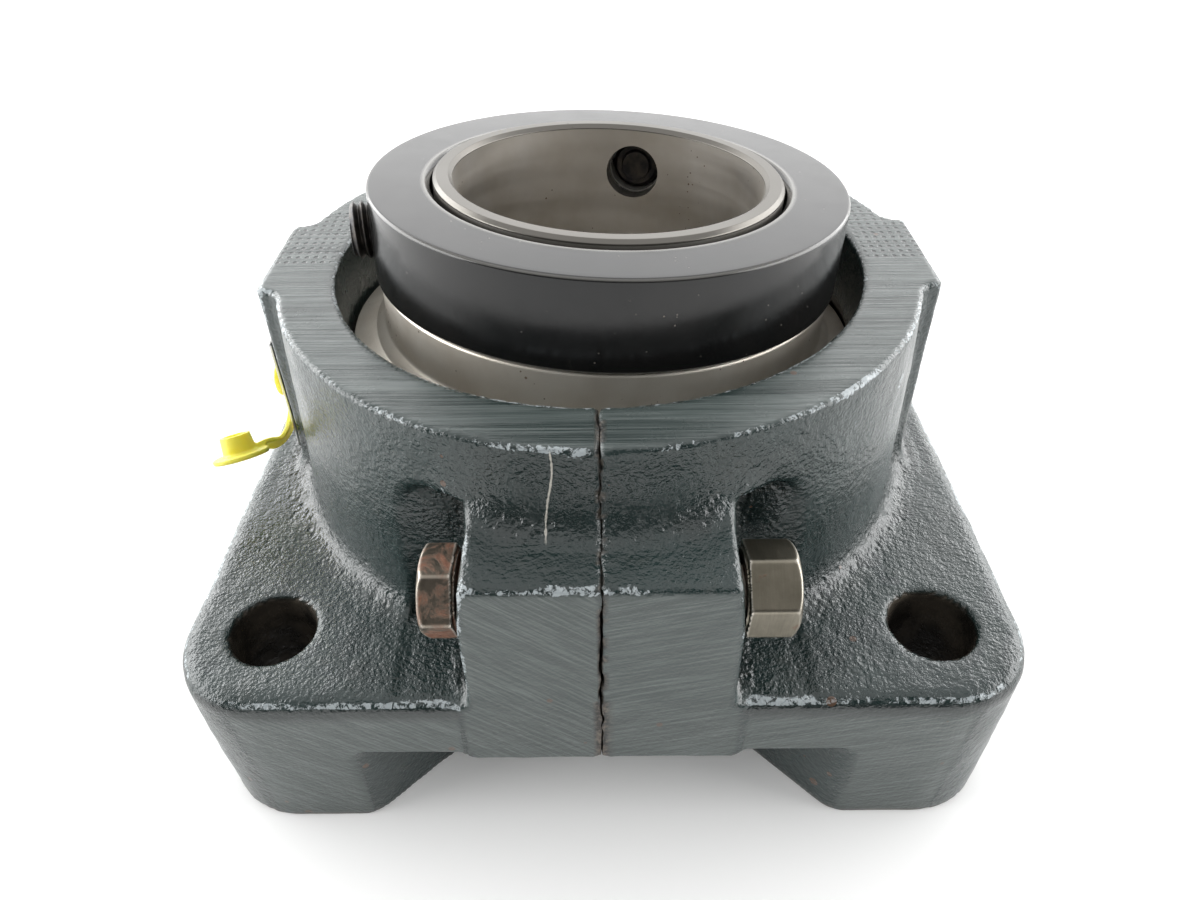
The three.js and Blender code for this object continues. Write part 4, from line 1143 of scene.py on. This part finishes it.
def cage_bar():
    """The bar between two windows of a cage, rounded a little on its long edges."""
    inner = RACE_TILT
    wide = math.pi * ROLLER_ORBIT / ROLLERS_PER_ROW - ROLLER_RADIUS - 0.5
    half, thick, ease = ROLLER_LENGTH / 2 + 0.9, 0.8, 0.3
    outline = [
        (thick, wide - ease), (thick - ease, wide), (ease - thick, wide), (-thick, wide - ease),
        (-thick, ease - wide), (ease - thick, -wide), (thick - ease, -wide), (thick, ease - wide),
    ]
    count = len(outline)
    points = [(x, y * (1 + z * math.sin(inner) / ROLLER_ORBIT), z) for z in (-half, half) for x, y in outline]
    faces = [[i, (i + 1) % count, count + (i + 1) % count, count + i] for i in range(count)]
    faces += [list(range(count))[::-1], list(range(count, 2 * count))]
    return mesh_object("cage_bar", points, faces, smooth=False)


def cage_rims():
    """The two conical rims of a cage, joined as one source mesh in the upper row's place."""
    rims = []
    for low, high in ((-11.6, -9.5), (9.5, 11.6)):
        corners = [row_point(low, -0.8), row_point(low, 0.8), row_point(high, 0.8), row_point(high, -0.8)]
        profile = [(r, z, 0.3) for r, z in corners]
        rims.append(turned("rim", eased(profile, 2), 128))
    return joined("cage_rims", rims)


def rolling_parts(roller_steel, cage_steel):
    recipe = circle_recipe()
    roller, bar, rims = roller_source(), cage_bar(), cage_rims()
    settings = {"Count": ROLLERS_PER_ROW, "Orbit": ROLLER_ORBIT * MM}
    for row, sign in (("upper", 1), ("lower", -1)):
        height = sign * ROLLER_HEIGHT * MM
        tilt = RACE_TILT if sign > 0 else math.pi - RACE_TILT
        for i in range(ROLLERS_PER_ROW):
            name = f"roller_{row}_{i + 1:02d}"
            made = recipe.grow(
                name, roller, **settings, Height=height, Tilt=tilt, First=i, Last=i,
                Offset=0.0, Material=roller_steel,
            )
            place_in_insert(made)
            finished(machined_shading(made, None, 20.0), name, "bearing_steel", roller_steel, name)
        bars = recipe.grow(
            "bars", bar, **settings, Height=height, Tilt=tilt, First=0, Last=ROLLERS_PER_ROW - 1,
            Offset=0.5, Material=cage_steel,
        )
        both = rims.copy()
        both.data = rims.data.copy()
        bpy.context.scene.collection.objects.link(both)
        if sign < 0:
            both.data.transform(Matrix.Rotation(math.pi, 4, "X"))
        cage = joined(f"cage_{row}", [both, bars])
        place_in_insert(cage)
        finished(machined_shading(cage, None, 30.0), f"cage_{row}", "cage_steel", cage_steel, f"cage_{row}")
    for source in (roller, bar, rims):
        drop(source)


def place_in_insert(obj):
    """Carries a mesh made about the shaft axis into the swivelled insert."""
    matrix = INSERT.copy()
    matrix.translation *= MM
    obj.data.transform(matrix)


# ================================================================ finishes
class Pattern:
    """Node building for one material, on object coordinates in metres."""

    def __init__(self, name):
        self.material = bpy.data.materials.new(name)
        self.material.use_nodes = True
        self.tree = self.material.node_tree
        self.shader = self.tree.nodes["Principled BSDF"]
        self.place = self.node("ShaderNodeTexCoord").outputs["Object"]

    def node(self, kind, **settings):
        made = self.tree.nodes.new(kind)
        for key, value in settings.items():
            setattr(made, key, value)
        return made

    def put(self, socket, value):
        if isinstance(value, bpy.types.NodeSocket):
            self.tree.links.new(value, socket)
        elif value is not None:
            socket.default_value = value

    def steady(self, **sockets):
        """Values that are the same all over, set on the shader's own sockets."""
        for key, value in sockets.items():
            self.shader.inputs[key.replace("_", " ")].default_value = value

    def math(self, operation, a, b=None, c=None, clamp=False):
        made = self.node("ShaderNodeMath", operation=operation, use_clamp=clamp)
        for socket, value in zip(made.inputs, (a, b, c)):
            self.put(socket, value)
        return made.outputs[0]

    def times(self, a, b, clamp=False):
        return self.math("MULTIPLY", a, b, clamp=clamp)

    def plus(self, a, b):
        return self.math("ADD", a, b)

    def mapped(self, scale=(1, 1, 1), turn=(0, 0, 0), shift=(0, 0, 0), source=None):
        made = self.node("ShaderNodeMapping")
        self.put(made.inputs["Vector"], source or self.place)
        made.inputs["Scale"].default_value = scale
        made.inputs["Rotation"].default_value = turn
        made.inputs["Location"].default_value = shift
        return made.outputs[0]

    def grain(self, scale, detail=2.0, rough=0.5, source=None, twist=0.0):
        made = self.node("ShaderNodeTexNoise")
        self.put(made.inputs["Vector"], source or self.place)
        made.inputs["Scale"].default_value = scale
        made.inputs["Detail"].default_value = detail
        made.inputs["Roughness"].default_value = rough
        made.inputs["Distortion"].default_value = twist
        return made.outputs["Fac"]

    def cells(self, scale, source=None, feature="F1", spread=1.0):
        made = self.node("ShaderNodeTexVoronoi", feature=feature)
        self.put(made.inputs["Vector"], source or self.place)
        made.inputs["Scale"].default_value = scale
        made.inputs["Randomness"].default_value = spread
        return made.outputs

    def span(self, value, low, high, to_low=0.0, to_high=1.0):
        """A value stretched from one range to another, and held at its ends."""
        made = self.node("ShaderNodeMapRange", clamp=True)
        self.put(made.inputs["Value"], value)
        made.inputs["From Min"].default_value = low
        made.inputs["From Max"].default_value = high
        made.inputs["To Min"].default_value = to_low
        made.inputs["To Max"].default_value = to_high
        return made.outputs[0]

    def mixed(self, share, a, b):
        made = self.node("ShaderNodeMix", data_type="RGBA")
        self.put(made.inputs["Factor"], share)
        for socket, value in ((made.inputs[6], a), (made.inputs[7], b)):
            if isinstance(value, tuple) and len(value) == 3:
                value = (*value, 1.0)
            self.put(socket, value)
        return made.outputs[2]

    def attribute(self, name):
        return self.node("ShaderNodeAttribute", attribute_name=name).outputs["Fac"]

    def axes(self, source=None):
        made = self.node("ShaderNodeSeparateXYZ")
        self.put(made.inputs[0], source or self.place)
        return made.outputs

    def vector(self, x, y, z):
        made = self.node("ShaderNodeCombineXYZ")
        for socket, value in zip(made.inputs, (x, y, z)):
            self.put(socket, value)
        return made.outputs[0]

    def colour(self, value):
        self.put(self.shader.inputs["Base Color"], value if not isinstance(value, tuple) else (*value, 1.0))

    def roughness(self, value):
        self.put(self.shader.inputs["Roughness"], value)

    def relief(self, height, depth_mm, before=None):
        """A bump whose height of 1 stands the given number of millimetres."""
        made = self.node("ShaderNodeBump")
        made.inputs["Strength"].default_value = 1.0
        made.inputs["Distance"].default_value = depth_mm * MM
        self.put(made.inputs["Height"], height)
        if before is not None:
            self.put(made.inputs["Normal"], before)
        self.put(self.shader.inputs["Normal"], made.outputs[0])
        return made.outputs[0]

    def in_insert(self):
        """Coordinates of the swivelled insert: X, Y and Z about the shaft's axis."""
        shifted = self.mapped(shift=(0, 0, -SEAT_CENTRE * MM))
        turn = INSERT.to_3x3().transposed().to_euler("XYZ")
        return self.mapped(turn=tuple(turn), source=shifted)


def mm(value):
    return value * MM


def castings_paint():
    """Semi-gloss dark green-grey enamel over a sand casting, with paint wear and painted highlights on its
    edges.
    """
    p = Pattern("castings_paint")
    x, y, z = p.axes()
    edge, broad = p.attribute("edge"), p.attribute("broad_edge")
    faced, ground = p.attribute("faced"), p.attribute("ground")
    bare, split = p.attribute("bare"), p.attribute("split")

    clouds = p.grain(22, 3, 0.6)
    tone = p.mixed(p.span(clouds, 0.35, 0.65), (0.006, 0.017, 0.016), (0.012, 0.028, 0.027))
    dust = p.span(p.grain(140, 4, 0.7), 0.55, 0.8)
    tone = p.mixed(p.times(dust, 0.35), tone, (0.050, 0.055, 0.048))
    hollow = p.span(broad, -0.03, -0.14)
    tone = p.mixed(p.times(hollow, 0.6), tone, (0.016, 0.021, 0.020))

    # sand-cast skin: soft lumps, a finer peel on them and pits where the sand held on
    lumps = p.grain(560, 2, 0.55)
    peel = p.grain(1150, 2, 0.6)
    pits = p.span(p.cells(420)["Distance"], 0.0, 0.45)
    peel_share = p.span(p.grain(16, 1, 0.5), 0.3, 0.7, 0.45, 1.0)
    skin = p.math("MULTIPLY_ADD", p.times(peel, peel_share), 1.0, lumps)
    pitted = p.span(broad, 0.0, -0.09, 0.12, 0.85)
    skin = p.math("MULTIPLY_ADD", pits, pitted, skin)

    # machined ring face: parallel tool lines with small steps
    lines = p.grain(1.0, 3, 0.7, source=p.mapped(scale=(16, 1100, 30)))
    steps = p.grain(1.0, 1, 0.5, source=p.mapped(scale=(9, 210, 10)))
    tool_marks = p.math("MULTIPLY_ADD", steps, 0.5, lines)

    # small punch dots in rows by the pads on both sides
    column = p.math("SUBTRACT", p.math("FRACT", p.times(x, 380.0)), 0.5)
    row = p.math("SUBTRACT", p.math("FRACT", p.times(y, 330.0)), 0.5)
    near = p.math("SQRT", p.plus(p.times(column, column), p.times(row, row)))
    on_pad = p.times(p.span(p.math("ABSOLUTE", x), 0.0765, 0.0785), p.span(y, -0.007, -0.005))
    on_pad = p.times(on_pad, p.times(p.span(y, 0.030, 0.028), faced))
    dots = p.times(p.span(near, 0.30, 0.18), on_pad)

    # flange faces dressed by hand: strokes run one way on each side of the split
    fall_line = p.mapped(turn=(0, math.radians(-38), 0))
    rise_line = p.mapped(turn=(0, math.radians(14), 0))
    fall = p.grain(1.0, 4, 0.72, source=p.mapped(scale=(46, 46, 1250), source=fall_line))
    rise = p.grain(1.0, 4, 0.72, source=p.mapped(scale=(46, 46, 1250), source=rise_line))
    right_side = p.math("GREATER_THAN", x, 0.0)
    strokes = p.node("ShaderNodeMix", data_type="FLOAT")
    p.put(strokes.inputs[0], right_side)
    p.put(strokes.inputs[2], fall)
    p.put(strokes.inputs[3], rise)
    stroke = strokes.outputs[0]
    ground_tone = p.mixed(p.span(stroke, 0.46, 0.68), (0.046, 0.063, 0.059), (0.140, 0.166, 0.158))
    tone = p.mixed(p.times(ground, 0.85), tone, ground_tone)
    faced_tone = p.mixed(p.span(tool_marks, 0.62, 0.92), (0.024, 0.037, 0.035), (0.110, 0.132, 0.127))
    tone = p.mixed(p.times(faced, 0.9), tone, faced_tone)

    # flecks along the convex edges and a line along the flange's top edge: partly bright paint wear, partly
    # painted highlight
    open_rim = p.span(p.math("ABSOLUTE", x), mm(BOSS_HALF + 2), mm(BOSS_HALF + 4))
    flecks = p.grain(620, 4, 0.75, twist=0.6)
    patchy = p.span(p.grain(38, 2, 0.6), 0.30, 0.58, 0.35, 1.0)
    wear_and_highlight = p.times(p.span(edge, 0.105, 0.19), patchy)
    wear_and_highlight = p.times(wear_and_highlight, p.span(z, 0.050, 0.060, 0.25, 1.0))
    rim = p.math("MAXIMUM", p.math("ABSOLUTE", x), p.math("ABSOLUTE", y))
    rim = p.span(rim, mm(FLANGE_HALF - 7), mm(FLANGE_HALF - 6))
    rim = p.times(rim, open_rim)
    line = p.times(p.span(z, mm(FLANGE_TOP - 2.2), mm(FLANGE_TOP - 1.7)), rim)
    line = p.times(line, p.span(z, mm(FLANGE_TOP - 0.5), mm(FLANGE_TOP - 0.9)))
    wear_and_highlight = p.math("MAXIMUM", wear_and_highlight, p.times(line, patchy))
    bevel = p.times(p.span(z, mm(FLANGE_TOP - 7), mm(FLANGE_TOP - 4)), rim)
    bevel = p.times(bevel, p.span(z, mm(FLANGE_TOP - 1.6), mm(FLANGE_TOP - 2.4)))
    tone = p.mixed(p.times(bevel, 0.7), tone, (0.010, 0.014, 0.014))
    fleck = p.span(p.times(flecks, p.span(wear_and_highlight, 0.0, 1.0, 0.55, 1.25)), 0.53, 0.62)
    fleck = p.times(fleck, p.span(wear_and_highlight, 0.05, 0.3), clamp=True)
    # pale edge flecks: partly paint wear, partly painted highlight
    tone = p.mixed(p.times(fleck, 0.8), tone, (0.45, 0.50, 0.52))

    # one pale scratch down the barrel beside the split
    bend = p.times(p.math("SINE", p.times(z, 210.0)), mm(0.9))
    off = p.math("ABSOLUTE", p.math("SUBTRACT", p.plus(x, bend), mm(-11.2)))
    jitter = p.times(p.grain(900, 2, 0.6), mm(0.7))
    line = p.span(p.plus(off, jitter), mm(0.62), mm(0.5))
    reach = p.times(p.span(z, 0.0955, 0.0965), p.span(z, 0.1165, 0.1155))
    front = p.math("LESS_THAN", y, mm(-60))
    scratch = p.times(p.times(line, reach), front)
    tone = p.mixed(p.times(scratch, 0.85), tone, (0.55, 0.52, 0.46))

    # small rust spots and the dark broken seam
    spots = p.cells(95)
    spot_size = p.span(p.grain(60, 1, 0.5), 0.45, 0.8, 0.0, 0.16)
    rust = p.math("LESS_THAN", spots["Distance"], spot_size)
    tone = p.mixed(p.times(rust, 0.55), tone, (0.13, 0.06, 0.03))
    seam_tone = p.mixed(p.span(p.grain(700, 3, 0.7), 0.45, 0.65), (0.018, 0.016, 0.014), (0.15, 0.125, 0.10))
    tone = p.mixed(split, tone, seam_tone)
    bare_tone = p.mixed(p.span(p.grain(110, 3, 0.6), 0.4, 0.65), (0.022, 0.020, 0.017), (0.085, 0.072, 0.056))
    tone = p.mixed(bare, tone, bare_tone)
    tone = p.mixed(p.times(dots, 0.8), tone, (0.008, 0.010, 0.010))
    p.colour(tone)

    gloss = p.span(p.grain(90, 3, 0.6), 0.3, 0.7, 0.19, 0.31)
    gloss = p.plus(gloss, p.times(ground, 0.12))
    gloss = p.plus(gloss, p.times(split, 0.3))
    p.roughness(gloss)
    p.steady(IOR=1.65, Coat_Weight=0.0)

    open_skin = p.math("SUBTRACT", 1.0, p.math("MAXIMUM", faced, p.times(ground, 0.45)))
    open_skin = p.times(open_skin, p.math("SUBTRACT", 1.0, p.times(bare, 0.8)))
    cast = p.relief(p.times(skin, open_skin), 0.36)
    marks = p.relief(p.times(tool_marks, faced), 0.30, cast)
    marks = p.relief(p.times(dots, -1.0), 0.35, marks)
    dressed = p.relief(p.times(stroke, ground), 0.10, marks)
    p.relief(p.times(fleck, -1.0), 0.06, dressed)
    return p.material


def ring_steel(name, light, dark, sheen, metal):
    """Ground bearing steel: fine hoop-wise lines, faint bands and a few brown specks."""
    p = Pattern(name)
    local = p.in_insert()
    x, y, z = p.axes(local)
    around = p.math("ARCTAN2", y, x)
    lay = p.vector(p.times(around, 0.05), z, 0.0)
    fine = p.grain(5200, 2, 0.6, source=lay)
    bands = p.grain(160, 2, 0.5, source=p.vector(p.times(around, 0.004), z, 0.3))
    clouds = p.grain(60, 3, 0.6, source=local)
    tone = p.mixed(p.span(clouds, 0.35, 0.7), light, dark)
    tone = p.mixed(p.span(fine, 0.3, 0.75, 0.0, 0.25), tone, (0.42, 0.39, 0.35))
    specks = p.cells(520, source=local)
    where = p.span(p.grain(75, 2, 0.6, source=local), 0.56, 0.72, 0.0, 0.22)
    speck = p.math("LESS_THAN", specks["Distance"], where)
    tone = p.mixed(p.times(speck, 0.8), tone, (0.13, 0.065, 0.03))
    # end face and bore chamfer of the inner ring painted darker so they reflect less light: painted shade
    face = p.math("GREATER_THAN", z, mm(RING_TOP - 1.4))
    tone = p.mixed(face, tone, (0.16, 0.152, 0.138))
    p.colour(tone)
    rough = p.span(bands, 0.3, 0.7, sheen, sheen + 0.1)
    p.roughness(p.math("MULTIPLY_ADD", speck, 0.4, rough))
    p.steady(Metallic=metal)
    p.relief(fine, 0.0045)
    return p.material


def collar_black():
    """Black-oxide steel, satin, rubbed a little brown, with lint and fine dust, and lighter edges that are
    part rubbed wear and part painted highlight.
    """
    p = Pattern("collar_black")
    local = p.in_insert()
    x, y, z = p.axes(local)
    around = p.math("ARCTAN2", y, x)
    turned_lines = p.grain(4200, 2, 0.6, source=p.vector(p.times(around, 0.03), z, 0.0))
    clouds = p.grain(34, 4, 0.6, source=local)
    tone = p.mixed(p.span(clouds, 0.35, 0.7), (0.005, 0.0055, 0.006), (0.012, 0.0115, 0.011))
    # lighter edges and screw-hole rims: partly rubbed oxide, partly painted highlight
    edge = p.attribute("edge")
    tone = p.mixed(p.span(edge, 0.05, 0.25), tone, (0.22, 0.215, 0.20))
    dust = p.math("LESS_THAN", p.cells(330, source=local)["Distance"], 0.075)
    thin = p.span(p.grain(50, 2, 0.5, source=local), 0.5, 0.7)
    dust = p.times(dust, thin)
    tone = p.mixed(p.times(dust, 0.5), tone, (0.42, 0.38, 0.33))
    p.colour(tone)
    rough = p.span(p.grain(90, 3, 0.6, source=local), 0.3, 0.7, 0.14, 0.24)
    p.roughness(p.math("MULTIPLY_ADD", dust, 0.3, rough))
    p.steady(Metallic=0.0, IOR=1.5)
    p.relief(turned_lines, 0.004)
    return p.material


def screw_black():
    p = Pattern("screw_black")
    stain = p.grain(240, 3, 0.6)
    p.colour(p.mixed(p.span(stain, 0.4, 0.7), (0.030, 0.030, 0.032), (0.085, 0.075, 0.065)))
    p.roughness(p.span(p.grain(800, 2, 0.6), 0.3, 0.7, 0.3, 0.5))
    p.steady(Metallic=0.85)
    p.relief(p.grain(1500, 2, 0.6), 0.02)
    return p.material


def bolt_steel(name, rust_low, rust_high, light, dark):
    """Plain steel with an olive tinge, bright on its edges, and rust in patches."""
    p = Pattern(name)
    clouds = p.grain(70, 4, 0.65)
    tone = p.mixed(p.span(clouds, 0.35, 0.68), light, dark)
    drag = p.grain(1.0, 3, 0.7, source=p.mapped(scale=(2100, 160, 160)))
    tone = p.mixed(p.span(drag, 0.35, 0.75, 0.0, 0.35), tone, (0.14, 0.125, 0.10))
    stain = p.grain(88, 5, 0.72, twist=0.7)
    rust = p.span(stain, rust_low, rust_high)
    rust_tone = p.mixed(p.span(p.grain(900, 2, 0.6), 0.35, 0.7), (0.17, 0.06, 0.030), (0.30, 0.14, 0.085))
    tone = p.mixed(p.times(rust, 0.85), tone, rust_tone)
    bright = p.span(p.attribute("edge"), 0.06, 0.22)
    tone = p.mixed(p.times(bright, 0.75), tone, (0.66, 0.62, 0.55))
    p.colour(tone)
    p.roughness(p.math("MULTIPLY_ADD", rust, 0.35, p.span(drag, 0.3, 0.7, 0.30, 0.44)))
    p.put(p.shader.inputs["Metallic"], p.span(rust, 0.0, 1.0, 0.95, 0.25))
    scale = p.relief(p.times(p.grain(1300, 3, 0.7), p.plus(rust, 0.25)), 0.07)
    p.relief(drag, 0.012, scale)
    return p.material


def plated_steel(name, light, dark, rough):
    """Bright plated or pressed steel with a faint grain."""
    p = Pattern(name)
    clouds = p.grain(150, 3, 0.6)
    p.colour(p.mixed(p.span(clouds, 0.35, 0.7), light, dark))
    p.roughness(p.span(p.grain(700, 2, 0.6), 0.3, 0.7, rough - 0.05, rough + 0.08))
    p.steady(Metallic=1.0)
    p.relief(p.grain(2400, 2, 0.6), 0.006)
    return p.material


def cap_plastic():
    """Soft yellow polyethylene that glows a little where it is thin."""
    p = Pattern("cap_plastic")
    clouds = p.grain(180, 2, 0.5)
    p.colour(p.mixed(p.span(clouds, 0.35, 0.7), (0.90, 0.80, 0.085), (0.93, 0.86, 0.16)))
    p.roughness(p.span(p.grain(420, 2, 0.5), 0.3, 0.7, 0.34, 0.46))
    p.steady(Subsurface_Weight=0.35, Subsurface_Scale=0.004, IOR=1.5)
    p.shader.inputs["Subsurface Radius"].default_value = (1.0, 0.8, 0.25)
    p.relief(p.grain(520, 2, 0.6), 0.03)
    return p.material


def seal_rubber():
    p = Pattern("seal_rubber")
    p.colour(p.mixed(p.span(p.grain(120, 3, 0.6), 0.4, 0.7), (0.014, 0.014, 0.015), (0.035, 0.034, 0.033)))
    p.roughness(p.span(p.grain(600, 2, 0.6), 0.3, 0.7, 0.5, 0.68))
    p.relief(p.grain(1800, 3, 0.6), 0.02)
    return p.material


def plate_metal():
    """Blank aluminium plate, brushed along its length."""
    p = Pattern("plate_metal")
    brushed = p.grain(1.0, 3, 0.7, source=p.mapped(scale=(500, 30, 2600)))
    p.colour(p.mixed(p.span(brushed, 0.35, 0.7), (0.66, 0.66, 0.645), (0.55, 0.55, 0.53)))
    p.roughness(p.span(brushed, 0.3, 0.7, 0.28, 0.42))
    p.steady(Metallic=1.0)
    p.relief(brushed, 0.006)
    return p.material


# ================================================================ the bearing
def build():
    paint = castings_paint()
    steel = ring_steel("ring_steel", (0.70, 0.675, 0.635), (0.60, 0.565, 0.51), 0.33, 1.0)
    # lighter, partly diffuse copy of the ring steel so the outer ring's shoulder reads brighter: painted
    # light
    brightened_shoulder_steel = ring_steel("brightened_shoulder_steel", (0.90, 0.85, 0.76), (0.76, 0.69, 0.59), 0.42, 0.72)
    black = collar_black()
    screws = screw_black()
    bolts = bolt_steel("bolt_steel", 0.46, 0.58, (0.24, 0.205, 0.165), (0.165, 0.14, 0.11))
    nuts = bolt_steel("nut_steel", 0.62, 0.74, (0.25, 0.228, 0.18), (0.16, 0.145, 0.11))
    plated = plated_steel("plated_steel", (0.72, 0.71, 0.67), (0.56, 0.55, 0.51), 0.24)
    pressed = plated_steel("pressed_steel", (0.46, 0.45, 0.42), (0.36, 0.35, 0.32), 0.34)
    rubber = seal_rubber()
    sheet = plate_metal()
    housing_half("housing_left_half", -1, paint)
    housing_half("housing_right_half", 1, paint)
    for end, side in (("front", -1), ("rear", 1)):
        clamp_bolt(f"clamp_bolt_{end}", side, bolts)
        clamp_nut(f"clamp_nut_{end}", side, nuts)
    outer_ring(brightened_shoulder_steel)
    inner_ring("inner_ring_upper", RING_TOP, False, steel)
    inner_ring("inner_ring_lower", RING_BOTTOM, True, steel)
    locking_collar(black)
    seals_and_slingers(rubber, pressed)
    for index in range(len(SCREW_TURNS)):
        set_screw(index, screws)
    rolling_parts(plated, pressed)
    grease_fitting(plated)
    fitting_cap(cap_plastic())
    name_plate(sheet)
    small_round_pieces(plated, steel)


# ================================================================ floor, light and camera
def plain_shade(name, colour, roughness=0.9):
    made = bpy.data.materials.new(name)
    made.use_nodes = True
    shader = made.node_tree.nodes["Principled BSDF"]
    shader.inputs["Base Color"].default_value = (*colour, 1)
    shader.inputs["Roughness"].default_value = roughness
    shader.inputs["Specular IOR Level"].default_value = 0.0
    return made


def floor():
    corners = [(-6000, -6000, 0), (6000, -6000, 0), (6000, 6000, 0), (-6000, 6000, 0)]
    obj = mesh_object("floor", corners, [(0, 1, 2, 3)], smooth=False)
    shade = plain_shade("floor_white", (0.86, 0.86, 0.855))
    glow = shade.node_tree.nodes["Principled BSDF"].inputs
    glow["Emission Color"].default_value = (1, 1, 0.995, 1)
    glow["Emission Strength"].default_value = 0.15
    obj.data.materials.append(shade)


def softbox(name, place, aim, size, watts, tint=(1, 1, 1)):
    """A rectangular light at a place, in millimetres, aimed at a point."""
    data = bpy.data.lights.new(name, "AREA")
    data.shape = "RECTANGLE"
    data.size, data.size_y = size[0] * MM, size[1] * MM
    data.energy = watts
    data.color = tint
    obj = bpy.data.objects.new(name, data)
    obj.location = Vector(place) * MM
    obj.rotation_euler = (Vector(aim) - Vector(place)).to_track_quat("-Z", "Y").to_euler()
    bpy.context.scene.collection.objects.link(obj)
    return obj


def light_studio():
    world = bpy.data.worlds.new("studio")
    world.use_nodes = True
    world.node_tree.nodes["Background"].inputs["Color"].default_value = (1, 1, 1, 1)
    world.node_tree.nodes["Background"].inputs["Strength"].default_value = 0.09
    bpy.context.scene.world = world
    softbox("overhead", (0, 50, 1500), (0, 1, 0), (2600, 2600), 22)
    softbox("back", (0, 1500, 800), (0, 0, 80), (3200, 1500), 33)
    softbox("left", (-1250, 250, 480), (0, 0, 60), (2000, 900), 34)
    softbox("right", (1250, 250, 480), (0, 0, 60), (2000, 900), 30)


def set_camera():
    """A camera in front of the front boss, looking down across the bearing."""
    yaw, pitch, roll = (math.radians(a) for a in (-0.472, 39.56, -0.875))
    ahead = Vector((math.sin(yaw) * math.cos(pitch), math.cos(yaw) * math.cos(pitch), -math.sin(pitch)))
    level = ahead.cross(Vector((0, 0, 1))).normalized()
    above = level.cross(ahead)
    right = math.cos(roll) * level + math.sin(roll) * above
    up = math.cos(roll) * above - math.sin(roll) * level
    data = bpy.data.cameras.new("camera")
    data.sensor_width = 36
    data.lens = 25.875
    data.clip_start, data.clip_end = 0.01, 30
    obj = bpy.data.objects.new("camera", data)
    turn = Matrix((right, up, -ahead)).transposed().to_4x4()
    obj.matrix_world = Matrix.Translation(Vector((1.41, -232.7, 233.6)) * MM) @ turn
    bpy.context.scene.collection.objects.link(obj)
    bpy.context.scene.camera = obj


build()
floor()
light_studio()
set_camera()
bpy.context.scene.view_settings.view_transform = "Standard"
bpy.context.scene.view_settings.look = "None"
